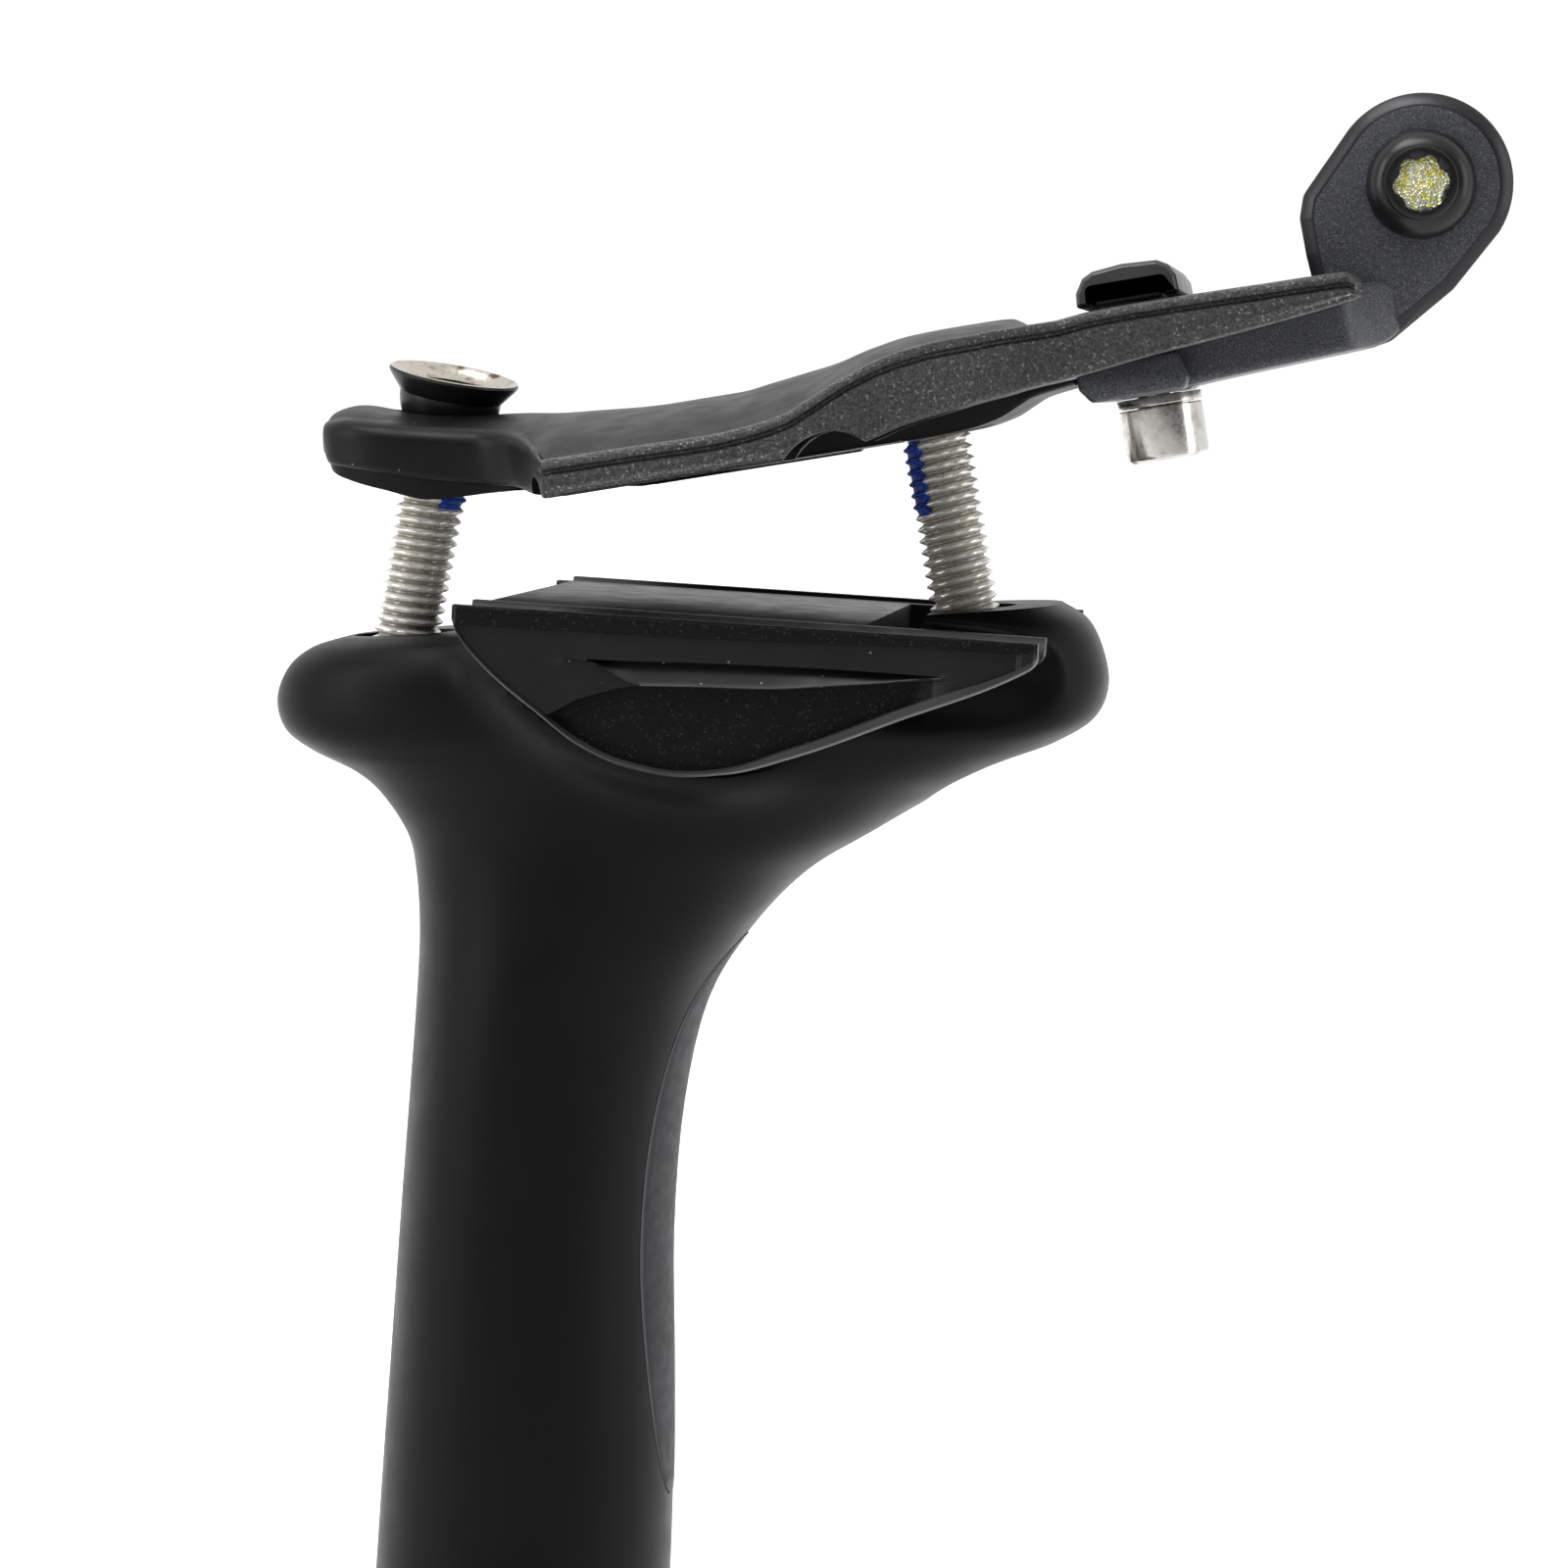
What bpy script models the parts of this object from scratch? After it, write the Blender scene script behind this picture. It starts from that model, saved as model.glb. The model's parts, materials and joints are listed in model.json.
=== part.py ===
"""Two-bolt seatpost with a flexing carbon shaft, a saddle-rail clamp and a rear light bracket.

Metres, +Z up along the post, +X to the rear of the bicycle, +Y to its right. The origin is the centre of
the post's lower end. The clamp stands open, its rear raised, as when a saddle is about to be fitted.
"""

import math

import bmesh
import bpy
from mathutils import Matrix, Vector

MM = 0.001

# Post
RAIL_HEIGHT = 350 * MM  # from the lower end of the post to the axis of the saddle rails
TUBE_RADIUS = 13.6 * MM
TUBE_WALL = 2.4 * MM
BORE_TOP = RAIL_HEIGHT - 62 * MM
POST_SEGMENTS = 44
RINGS_PER_STATION = 2

# Sections of the post from the head down, in millimetres, heights from the rail axis: front edge (x, z),
# rear edge (x, z), half width, squareness (2 is an ellipse).
POST_STATIONS = (
    (-20.2, -6.6, 43.0, 0.5, 12.4, 2.9),
    (-23.0, -7.7, 45.4, -0.9, 14.0, 2.8),
    (-25.0, -9.6, 46.9, -3.6, 15.2, 2.7),
    (-25.9, -12.4, 47.5, -6.6, 15.6, 2.6),
    (-25.0, -15.0, 46.5, -9.3, 15.6, 2.6),
    (-22.5, -16.7, 43.6, -11.4, 15.4, 2.5),
    (-18.9, -18.1, 38.7, -13.9, 15.1, 2.5),
    (-16.3, -20.0, 33.9, -16.5, 14.8, 2.4),
    (-13.6, -23.4, 27.9, -20.5, 14.4, 2.3),
    (-12.6, -27.0, 22.2, -24.5, 14.1, 2.2),
    (-12.1, -32.0, 17.4, -30.1, 13.9, 2.1),
    (-12.1, -38.0, 13.8, -36.8, 13.8, 2.0),
    (-12.3, -47.0, 12.1, -46.4, 13.6, 2.0),
    (-12.6, -58.0, 11.8, -58.0, 13.4, 2.0),
    (-12.9, -71.0, 12.6, -71.0, 13.3, 2.0),
    (-13.2, -84.0, 13.2, -84.0, 13.3, 2.0),
    (-13.6, -110.0, 13.6, -110.0, 13.6, 2.0),
    (-13.6, -350.0, 13.6, -350.0, 13.6, 2.0),
)

# Panel bonded to the rear of the shaft
PANEL_TOP = RAIL_HEIGHT - 31.5 * MM
PANEL_BOTTOM = RAIL_HEIGHT - 81.5 * MM
PANEL_HALF_ANGLE = math.radians(29.5)
PANEL_DEPTH = 0.5 * MM
PANEL_PROUD = 0.1 * MM
PANEL_GAP = 0.1 * MM
PANEL_ROWS, PANEL_COLUMNS = 18, 10
PANEL_TIP = 0.985  # how far the lens runs towards the sharp ends of its ellipse

# Saddle rails that the clamp is made for
RAIL_DIAMETER = 7 * MM
RAIL_CLEARANCE = 0.15 * MM
RAIL_SPACING = 43 * MM

# Lower cradle, a half-round saddle that rocks in a trough across the head
TILT_CENTRE = Vector((14 * MM, 0, RAIL_HEIGHT + 7 * MM))
TROUGH_RADIUS = 20 * MM
HUB_RADIUS = 19.7 * MM
HUB_HALF_WIDTH = 17 * MM
HUB_REAR = 28 * MM
LIP_HEIGHT = RAIL_HEIGHT - 1.5 * MM
WING_INNER = 16.7 * MM
WING_OUTER = 26.2 * MM
WING_OUTLINE = (
    (-5.1, -1.5),
    (-5.0, -3.2),
    (-2.8, -6.0),
    (2.7, -10.2),
    (6.0, -12.4),
    (9.6, -13.8),
    (14.0, -14.4),
    (18.4, -13.9),
    (24.0, -12.1),
    (32.1, -8.6),
    (42.6, -3.7),
    (43.2, -3.2),
    (43.2, -1.5),
)

# Upper clamp, in its own frame: origin on the rear nut, u along the rail groove, v square to it
CLAMP_TILT = math.radians(12.5)
REAR_PIVOT = Vector((29.8 * MM, 0, RAIL_HEIGHT + 20.1 * MM))
FRONT_PIVOT = Vector((-12.05 * MM, 0, RAIL_HEIGHT + 15.15 * MM))
RAIL_BELOW_PIVOT = 7.9 * MM
CLAMP_OUTER = 26.2
# u, half width, crown, rim, lower edge, wing's inner side, web, keel half width, keel bottom
CLAMP_STATIONS = (
    (-52.7, 5.5, 3.3, 2.7, 1.0, 4.6, 0.6, 3.0, 0.6),
    (-51.8, 8.0, 4.5, 3.6, -0.1, 7.0, -0.8, 5.0, -0.8),
    (-50.3, 9.3, 4.7, 3.6, -0.6, 8.2, -1.7, 6.0, -1.7),
    (-47.0, 10.5, 3.8, 2.9, -1.6, 9.4, -3.1, 7.0, -3.1),
    (-42.7, 11.0, 2.9, 1.9, -3.0, 10.0, -4.6, 8.0, -4.6),
    (-38.0, 11.5, 2.0, 0.9, -4.1, 10.2, -4.8, 8.5, -4.8),
    (-35.0, 13.2, 1.6, 0.2, -4.6, 11.2, -4.8, 9.0, -5.1),
    (-32.5, 17.8, 1.2, -1.0, -5.5, 13.6, -4.8, 9.2, -5.5),
    (-30.6, 23.2, 1.0, -2.2, -6.0, 16.2, -4.4, 9.3, -5.7),
    (-29.4, CLAMP_OUTER, 0.9, -3.0, -6.2, 17.6, -4.2, 9.4, -5.8),
    (-22.0, CLAMP_OUTER, 0.4, -3.1, -6.2, 17.6, -4.0, 9.5, -6.0),
    (-15.8, CLAMP_OUTER, 0.4, -3.2, -6.2, 17.6, -3.9, 9.5, -6.1),
    (-12.4, CLAMP_OUTER, 0.8, -3.0, -6.2, 17.6, -3.8, 9.5, -6.1),
    (-9.2, CLAMP_OUTER, 1.2, -2.5, -6.2, 17.6, -3.6, 9.5, -6.1),
    (-6.9, CLAMP_OUTER, 1.5, -1.6, -6.1, 17.6, -3.2, 9.5, -6.1),
    (-3.4, 25.8, 2.3, -0.1, -5.8, 17.2, -2.8, 9.5, -6.1),
    (0.0, 24.6, 2.8, 0.9, -5.0, 16.4, -2.6, 9.5, -6.1),
    (3.6, 22.8, 2.9, 1.4, -4.4, 15.2, -2.5, 9.5, -6.0),
    (6.5, 21.2, 2.9, 1.5, -4.0, 14.0, -2.5, 9.3, -5.5),
    (8.4, 20.2, 2.8, 1.6, -3.8, 13.2, -2.5, 9.2, -4.7),
    (9.6, 19.6, 1.6, 1.6, -3.6, 12.6, -2.5, 9.1, -4.2),
    (13.2, 18.2, 1.5, 1.6, -3.3, 11.2, -2.5, 9.0, -3.7),
)
# u, inner side, outer side, lower edge, upper edge
BEAM_STATIONS = (
    (0.0, 15.0, 24.6, -4.9, 0.9),
    (6.5, 12.2, 21.2, -4.0, 1.5),
    (12.0, 10.2, 18.6, -3.4, 1.9),
    (20.0, 10.2, 17.2, -2.5, 2.0),
    (30.0, 10.2, 16.2, -1.5, 1.9),
    (37.2, 10.4, 15.6, -0.6, 1.8),
    (38.0, 11.0, 15.0, -0.3, 1.2),
)
NOTCH_U = -6.2 * MM
NOTCH_V = -9.0 * MM
NOTCH_RADIUS = 4.6 * MM

# Clamp bolts (M6), their seats and their nuts; heights are from the bolt's seat, or from the nut's pivot
FRONT_LEAN = math.radians(7.9)
REAR_LEAN = math.radians(-13.1)
FRONT_REACH = 26.9 * MM  # from the bolt's seat to its nut's pivot
REAR_REACH = 27.4 * MM
SHANK_RADIUS = 2.7 * MM
HEAD_RADIUS = 5 * MM
HEAD_HEIGHT = 5 * MM
HEAD_CHAMFER = 0.5 * MM
SOCKET_FLATS = 5 * MM
SOCKET_DEPTH = 3 * MM
SHANK_POINT = 0.5 * MM
SHANK_PROUD = 0.4 * MM
HEAD_GAP = 0.1 * MM
WASHER_GAP = 0.3 * MM
WASHER_CROWN = 4.2 * MM
WASHER_RADIUS = 5.2 * MM
WASHER_BORE = 3.3 * MM
WASHER_THICKNESS = 1.5 * MM
WASHER_DROP = 0.8 * MM
INSERT_RADIUS = 6.1 * MM
INSERT_BORE = 4.3 * MM
INSERT_THICKNESS = 1.2 * MM
INSERT_GAP = 0.1 * MM
POCKET_RADIUS = 6.3 * MM
BOLT_HOLE_RADIUS = 4.5 * MM
POCKET_LENGTH = 15 * MM
PATCH_RADIUS = 2.98 * MM
PATCH_LENGTH = 7 * MM
PATCH_GAP = 0.08 * MM
PATCH_STEPS = 10
FRONT_PATCH_DROP = 10 * MM
REAR_PATCH_DROP = 13 * MM
PATCH_HALF_ANGLE = math.radians(65)
NUT_RADIUS = 4.5 * MM
NUT_BORE = 3.55 * MM
NUT_BOTTOM = -2.4 * MM
NUT_TOP = 2.0 * MM
NUT_FLANGE_RADIUS = 5.75 * MM
NUT_DISH_DEPTH = 1.1 * MM
NUT_EDGE = (0.5 * MM, 0.2 * MM)
FRONT_NUT_CANT = math.radians(6)
NUT_SEAT_RADIUS = 4.8 * MM
NUT_SEAT_RISE = math.radians(-13)
NUT_WELL = ((5.45 * MM, -0.5 * MM), (6.45 * MM, 0.4 * MM), (6.7 * MM, 3.4 * MM))
CLAMP_HOLE_RADIUS = 3.75 * MM
HOLE_LENGTH = 16 * MM
FRONT_HOLE_RUN = -4.8 * MM
REAR_HOLE_RUN = 3.6 * MM
ROUND_STEPS = 32

# Light bracket, in the clamp's frame
BAR_HALF_WIDTH = 9.5
FOOT_HALF_WIDTH = 13.4
LUG_HALF_THICKNESS = 3.4
EYE = (44.1, 8.3)
LUG_RADIUS = 7.7
EYE_RADIUS = 3.6 * MM
CAP_HALF_WIDTH = 14.2 * MM
SCREW_U = 19.6 * MM
SCREW_HEAD_RADIUS = 3.6 * MM
SCREW_HEAD_TOP = -6.55 * MM
SCREW_HEAD_HEIGHT = 4.6 * MM
SCREW_SHANK_RADIUS = 1.9 * MM
SCREW_TIP = 4.6 * MM
SCREW_HOLE_RADIUS = 2.3 * MM
SCREW_TIP_BELOW_CAP = 0.7 * MM
SCREW_CHAMFER = 0.4 * MM
SCREW_SOCKET_FLATS = 3 * MM
SCREW_SOCKET_DEPTH = 2.2 * MM
SCREW_WASHER = (-5.6 * MM, -6.45 * MM)
SCREW_WASHER_BORE = 2.1 * MM
SCREW_WASHER_RADIUS = 3.65 * MM
NUT_BAR_SIZE = (5.8 * MM, 27 * MM, 1.7 * MM)
NUT_BAR_V = 3.2 * MM
SLOT_WIDTH = 6.4 * MM
SLOT_TOP = 4.2 * MM
SLOT_U = SCREW_U - 0.7 * MM

# Lug fasteners (M5), heights from the face of the lug
LUG_GAP = 0.1 * MM
SLEEVE_BORE = 2.7 * MM
LUG_HEAD = (
    (2.9 * MM, 2.6 * MM),
    (3.7 * MM, 2.1 * MM),
    (4.3 * MM, 1.3 * MM),
    (4.6 * MM, 0.4 * MM),
    (4.6 * MM, 0.0),
)
LUG_SHANK_RADIUS = 2.45 * MM
LUG_SCREW_END = -8.6 * MM
LUG_SOCKET_RADIUS = 2.2 * MM
LUG_SOCKET_FLOOR = 1.1 * MM
LUG_WASHER_RADIUS = 4.9 * MM
LUG_WASHER_BORE = 2.6 * MM
LUG_WASHER_THICKNESS = 0.9 * MM
LUG_NUT_FLATS = 8 * MM
LUG_NUT_HEIGHT = 3.8 * MM
LUG_NUT_BORE = 2.55 * MM


def clear_scene():
    for obj in list(bpy.data.objects):
        bpy.data.objects.remove(obj, do_unlink=True)


def collection(name):
    made = bpy.data.collections.new(name)
    bpy.context.scene.collection.children.link(made)
    return made


clear_scene()
PARTS = collection("flex_seatpost")
CUTTERS = collection("cutters")


def material(name, colour, roughness, metallic=0.0):
    made = bpy.data.materials.new(name)
    made.use_nodes = True
    shader = made.node_tree.nodes["Principled BSDF"]
    shader.inputs["Base Color"].default_value = (*colour, 1)
    shader.inputs["Roughness"].default_value = roughness
    shader.inputs["Metallic"].default_value = metallic
    return made


def place(obj, frame=None):
    if frame is not None:
        obj.parent = frame
    return obj


def part(name, mesh, look, frame=None):
    """One node: a mesh in the parts' collection, placed by the empty that it hangs on."""
    obj = bpy.data.objects.new(name, mesh)
    obj.data.name = name
    obj.data.materials.clear()
    obj.data.materials.append(look)
    PARTS.objects.link(obj)
    return place(obj, frame)


def tool(name, mesh, frame=None):
    """A mesh that only cuts or joins another."""
    obj = bpy.data.objects.new(name, mesh)
    obj.hide_render = True
    obj.display_type = "WIRE"
    CUTTERS.objects.link(obj)
    return place(obj, frame)


def frame_at(name, point, angle=0.0):
    """An empty at a point, turned about Y."""
    empty = bpy.data.objects.new(name, None)
    empty.location = point
    empty.rotation_euler = (0, angle, 0)
    PARTS.objects.link(empty)
    return empty


def boolean(obj, other, operation):
    modifier = obj.modifiers.new(other.name, "BOOLEAN")
    modifier.object = other
    modifier.operation = operation
    modifier.solver = "EXACT"


def cut(obj, *cutters):
    for cutter in cutters:
        boolean(obj, cutter, "DIFFERENCE")


def join(obj, *others):
    for other in others:
        boolean(obj, other, "UNION")


def smooth(mesh, angle=math.radians(35)):
    mesh.shade_smooth()
    mesh.set_sharp_from_angle(angle=angle)
    return mesh


def finished(name, bm):
    bmesh.ops.recalc_face_normals(bm, faces=bm.faces)
    mesh = bpy.data.meshes.new(name)
    bm.to_mesh(mesh)
    bm.free()
    return smooth(mesh)


def loft(name, rings):
    """A closed skin through rings of points, each ring with the same number of points."""
    bm = bmesh.new()
    rows = [[bm.verts.new(point) for point in ring] for ring in rings]
    count = len(rows[0])
    for low, high in zip(rows, rows[1:]):
        for i in range(count):
            j = (i + 1) % count
            bm.faces.new((low[i], low[j], high[j], high[i]))
    bm.faces.new(rows[0])
    bm.faces.new(rows[-1])
    return finished(name, bm)


def prism(name, outline, y_from, y_to):
    """An outline in the XZ plane, in metres, run along Y."""
    rings = [[Vector((x, y, z)) for x, z in outline] for y in (y_from, y_to)]
    return loft(name, rings)


def block(name, size, centre):
    bm = bmesh.new()
    bmesh.ops.create_cube(bm, size=1)
    bmesh.ops.scale(bm, vec=size, verts=bm.verts)
    bmesh.ops.translate(bm, vec=centre, verts=bm.verts)
    return finished(name, bm)


def cylinder(name, radius, start, end, top_radius=None, steps=ROUND_STEPS):
    """A cylinder or cone between two points."""
    start, end = Vector(start), Vector(end)
    axis = end - start
    bm = bmesh.new()
    bmesh.ops.create_cone(
        bm,
        cap_ends=True,
        segments=steps,
        radius1=radius,
        radius2=radius if top_radius is None else top_radius,
        depth=axis.length,
    )
    turn = Vector((0, 0, 1)).rotation_difference(axis).to_matrix().to_4x4()
    bm.transform(Matrix.Translation((start + end) / 2) @ turn)
    return finished(name, bm)


def bowl(name, radius, rise, mouth):
    """A round-bottomed well: part of a ball with a flared mouth above it."""
    rings = []
    steps = ROUND_STEPS // 4
    bottom = math.radians(-90)
    for k in range(1, steps + 1):
        angle = bottom + (rise - bottom) * k / steps
        rings.append((radius * math.cos(angle), radius * math.sin(angle)))
    return loft(name, [circle(r, z) for r, z in (*rings, *mouth)])


def circle(radius, height, steps=ROUND_STEPS):
    turns = [2 * math.pi * k / steps for k in range(steps)]
    return [Vector((radius * math.cos(a), radius * math.sin(a), height)) for a in turns]


def turned(name, profile, look, frame, steps=ROUND_STEPS, tilt=None):
    """A closed profile of (radius, height) points, listed down its outer side, turned about local Z."""
    mesh = bpy.data.meshes.new(name)
    points = [(radius, 0, height) for radius, height in profile]
    edges = [(i, (i + 1) % len(points)) for i in range(len(points))]
    mesh.from_pydata(points, edges, [])
    obj = part(name, mesh, look, frame)
    if tilt is not None:
        obj.rotation_euler = tilt
    screw = obj.modifiers.new("turn", "SCREW")
    screw.steps = steps
    screw.render_steps = steps
    screw.use_merge_vertices = True
    screw.merge_threshold = 0.0001 * MM
    screw.use_smooth_shade = True
    return obj


def between(rows, steps):
    """Catmull-Rom rows between each two rows of a table."""
    filled = []
    for i in range(len(rows) - 1):
        a, b = rows[i], rows[i + 1]
        before = rows[i - 1] if i else a
        after = rows[i + 2] if i + 2 < len(rows) else b
        for k in range(steps):
            t = k / steps
            row = []
            for p, q, r, s in zip(before, a, b, after):
                bend = 2 * p - 5 * q + 4 * r - s
                swing = 3 * q - p - 3 * r + s
                row.append(0.5 * (2 * q + (r - p) * t + bend * t * t + swing * t**3))
            filled.append(tuple(row))
    filled.append(rows[-1])
    return filled


def superellipse(angle, power):
    c, s = math.cos(angle), math.sin(angle)
    return math.copysign(abs(c) ** (2 / power), c), math.copysign(abs(s) ** (2 / power), s)


def post_ring(row):
    front_x, front_z, rear_x, rear_z, half_width, power = row
    ring = []
    for k in range(POST_SEGMENTS):
        along, across = superellipse(2 * math.pi * k / POST_SEGMENTS, power)
        x = (front_x + rear_x) / 2 + (rear_x - front_x) / 2 * along
        z = (front_z + rear_z) / 2 + (rear_z - front_z) / 2 * along
        ring.append(Vector((x * MM, half_width * MM * across, RAIL_HEIGHT + z * MM)))
    return ring


def post_rows():
    head = between(POST_STATIONS[:-1], RINGS_PER_STATION)
    return head + [POST_STATIONS[-1]]


def post_section(height):
    """Centre and half extents of the shaft at a height, where its sections are level."""
    z = (height - RAIL_HEIGHT) / MM
    rows = post_rows()
    for upper, lower in zip(rows, rows[1:]):
        middle_up = (upper[1] + upper[3]) / 2
        middle_low = (lower[1] + lower[3]) / 2
        if middle_low <= z <= middle_up:
            t = (middle_up - z) / (middle_up - middle_low)
            return [a + (b - a) * t for a, b in zip(upper, lower)]
    return rows[-1]


def panel_mesh(name, grow):
    """The panel's solid, or with grow its recess: a lens that follows the back of the shaft."""
    rings = []
    for i in range(PANEL_ROWS + 1):
        t = i / PANEL_ROWS
        height = PANEL_TOP + grow + (PANEL_BOTTOM - PANEL_TOP - 2 * grow) * t
        spread = math.sqrt(1 - (PANEL_TIP * (2 * t - 1)) ** 2)
        row = post_section(height)
        front_x, rear_x, half_width, power = row[0], row[2], row[4], row[5]
        tip = grow / TUBE_RADIUS
        ring = []
        for side, depth in ((1, PANEL_PROUD + grow * 5), (-1, -PANEL_DEPTH - grow)):
            for j in range(PANEL_COLUMNS + 1):
                k = j if side > 0 else PANEL_COLUMNS - j
                angle = (2 * k / PANEL_COLUMNS - 1) * (PANEL_HALF_ANGLE * spread + tip)
                along, across = superellipse(angle, power)
                x = (front_x + rear_x) / 2 * MM + ((rear_x - front_x) / 2 * MM + depth) * along
                y = (half_width * MM + depth) * across
                lean = (row[3] - row[1]) / (rear_x - front_x)
                z = height + (x - (front_x + rear_x) / 2 * MM) * lean
                ring.append(Vector((x, y, z)))
        rings.append(ring)
    return loft(name, rings)


def along(frame_point, lean, distance):
    return frame_point + Vector((math.sin(lean), 0, math.cos(lean))) * distance


FRONT_SEAT = along(FRONT_PIVOT, FRONT_LEAN, -FRONT_REACH)
REAR_SEAT = along(REAR_PIVOT, REAR_LEAN, -REAR_REACH)

clamp_frame = frame_at("clamp_frame", REAR_PIVOT, -CLAMP_TILT)
front_nut_frame = frame_at("front_nut_frame", FRONT_PIVOT, FRONT_LEAN)
rear_nut_frame = frame_at("rear_nut_frame", REAR_PIVOT, REAR_LEAN)
front_seat_frame = frame_at("front_seat_frame", FRONT_SEAT, FRONT_LEAN)
rear_seat_frame = frame_at("rear_seat_frame", REAR_SEAT, REAR_LEAN)

carbon = material("carbon", (0.018, 0.018, 0.019), 0.42)
panel_grey = material("panel_grey", (0.20, 0.19, 0.22), 0.6)
anodised = material("anodised", (0.02, 0.02, 0.022), 0.5, 0.6)
cast_black = material("cast_black", (0.026, 0.026, 0.03), 0.55, 0.4)
stainless = material("stainless", (0.62, 0.60, 0.57), 0.28, 1.0)
black_steel = material("black_steel", (0.015, 0.015, 0.017), 0.35, 0.8)
nut_steel = material("nut_steel", (0.42, 0.39, 0.36), 0.35, 1.0)
insert_alloy = material("insert_alloy", (0.35, 0.35, 0.36), 0.4, 1.0)
patch_blue = material("patch_blue", (0.02, 0.11, 0.55), 0.6)
bracket_black = material("bracket_black", (0.028, 0.03, 0.036), 0.5, 0.3)


def make_post():
    post = part("post_body", loft("post_body", [post_ring(row) for row in post_rows()]), carbon)
    low = Vector((0, 0, -5 * MM))
    bore = TUBE_RADIUS - TUBE_WALL
    cut(
        post,
        tool("post_bore", cylinder("post_bore", bore, low, (0, 0, BORE_TOP))),
        tool("trough", cylinder(
            "trough",
            TROUGH_RADIUS,
            TILT_CENTRE - Vector((0, 40 * MM, 0)),
            TILT_CENTRE + Vector((0, 40 * MM, 0)),
            steps=2 * ROUND_STEPS,
        )),
        tool("panel_recess", panel_mesh("panel_recess", PANEL_GAP)),
    )
    for end, frame in (("front", front_seat_frame), ("rear", rear_seat_frame)):
        ceiling = INSERT_THICKNESS + INSERT_GAP
        pocket = cylinder(end + "_pocket", POCKET_RADIUS, (0, 0, -POCKET_LENGTH), (0, 0, ceiling))
        hole = cylinder(end + "_hole", BOLT_HOLE_RADIUS, (0, 0, 0), (0, 0, POCKET_LENGTH))
        cut(post, tool(end + "_pocket", pocket, frame), tool(end + "_hole", hole, frame))
    part("rear_panel", panel_mesh("rear_panel", 0), panel_grey)


def make_seats():
    """Seat rings in the head, domed washers, bolts and their blue locking patches."""
    for end, frame, reach in (
        ("front", front_seat_frame, FRONT_REACH),
        ("rear", rear_seat_frame, REAR_REACH),
    ):
        turned(
            end + "_seat_insert",
            (
                (INSERT_RADIUS, INSERT_THICKNESS),
                (INSERT_RADIUS, 0),
                (INSERT_BORE, 0),
                (INSERT_BORE, INSERT_THICKNESS),
            ),
            insert_alloy,
            frame,
        )
        crown = -WASHER_GAP
        turned(
            end + "_bolt_washer",
            (
                (WASHER_BORE, crown),
                (WASHER_CROWN, crown - WASHER_DROP / 2),
                (WASHER_RADIUS, crown - WASHER_DROP),
                (WASHER_RADIUS, crown - WASHER_THICKNESS),
                (WASHER_BORE, crown - WASHER_THICKNESS),
            ),
            insert_alloy,
            frame,
        )
        bearing = crown - WASHER_THICKNESS - HEAD_GAP
        top = reach + SHANK_PROUD
        bottom = bearing - HEAD_HEIGHT
        bolt = turned(
            end + "_bolt",
            (
                (0, top),
                (SHANK_RADIUS - SHANK_POINT, top),
                (SHANK_RADIUS, top - SHANK_POINT),
                (SHANK_RADIUS, bearing),
                (HEAD_RADIUS, bearing),
                (HEAD_RADIUS, bottom + HEAD_CHAMFER),
                (HEAD_RADIUS - HEAD_CHAMFER, bottom),
                (0, bottom),
            ),
            stainless,
            frame,
        )
        corner = SOCKET_FLATS / math.sqrt(3)
        socket = cylinder(
            end + "_socket",
            corner,
            (0, 0, bottom - 1 * MM),
            (0, 0, bottom + SOCKET_DEPTH),
            steps=6,
        )
        cut(bolt, tool(end + "_socket", socket, frame))
    patch("front", front_seat_frame, FRONT_REACH - FRONT_PATCH_DROP, 0)
    patch("rear", rear_seat_frame, REAR_REACH - REAR_PATCH_DROP, math.pi)


def patch(end, frame, start, facing):
    """A thin strip of nylon fused round part of the thread, facing along X."""
    inner = SHANK_RADIUS + PATCH_GAP
    turns = [2 * k / PATCH_STEPS - 1 for k in range(PATCH_STEPS + 1)]
    angles = [facing + PATCH_HALF_ANGLE * turn for turn in turns]
    rings = []
    for height in (start, start + PATCH_LENGTH):
        ring = [(PATCH_RADIUS, a) for a in angles] + [(inner, a) for a in reversed(angles)]
        rings.append([Vector((r * math.cos(a), r * math.sin(a), height)) for r, a in ring])
    name = end + "_bolt_patch"
    part(name, loft(name, rings), patch_blue, frame)


def arc(centre, radius, start, end, steps):
    angles = [math.radians(start + (end - start) * k / steps) for k in range(steps + 1)]
    return [(centre[0] + radius * math.cos(a), centre[1] + radius * math.sin(a)) for a in angles]


def make_cradle():
    cx, cz = TILT_CENTRE.x, TILT_CENTRE.z
    drop = cz - LIP_HEIGHT
    front = math.degrees(math.atan2(-drop, -math.sqrt(HUB_RADIUS**2 - drop**2)))
    rear = -math.degrees(math.acos((HUB_REAR - cx) / HUB_RADIUS))
    hub = arc((cx, cz), HUB_RADIUS, front, rear, 24) + [(HUB_REAR, LIP_HEIGHT)]
    cradle = part(
        "lower_cradle", prism("lower_cradle", hub, -HUB_HALF_WIDTH, HUB_HALF_WIDTH), anodised
    )
    wing = [(x * MM, RAIL_HEIGHT + z * MM) for x, z in WING_OUTLINE]
    for side, name in ((-1, "left"), (1, "right")):
        ends = sorted((side * WING_INNER, side * WING_OUTER))
        join(cradle, tool(name + "_wing", prism(name + "_wing", wing, *ends)))
    for side, name in ((-1, "left"), (1, "right")):
        y = side * RAIL_SPACING / 2
        rail = cylinder(
            name + "_rail",
            RAIL_DIAMETER / 2 + RAIL_CLEARANCE,
            (-40 * MM, y, RAIL_HEIGHT),
            (80 * MM, y, RAIL_HEIGHT),
        )
        cut(cradle, tool(name + "_rail", rail))


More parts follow.
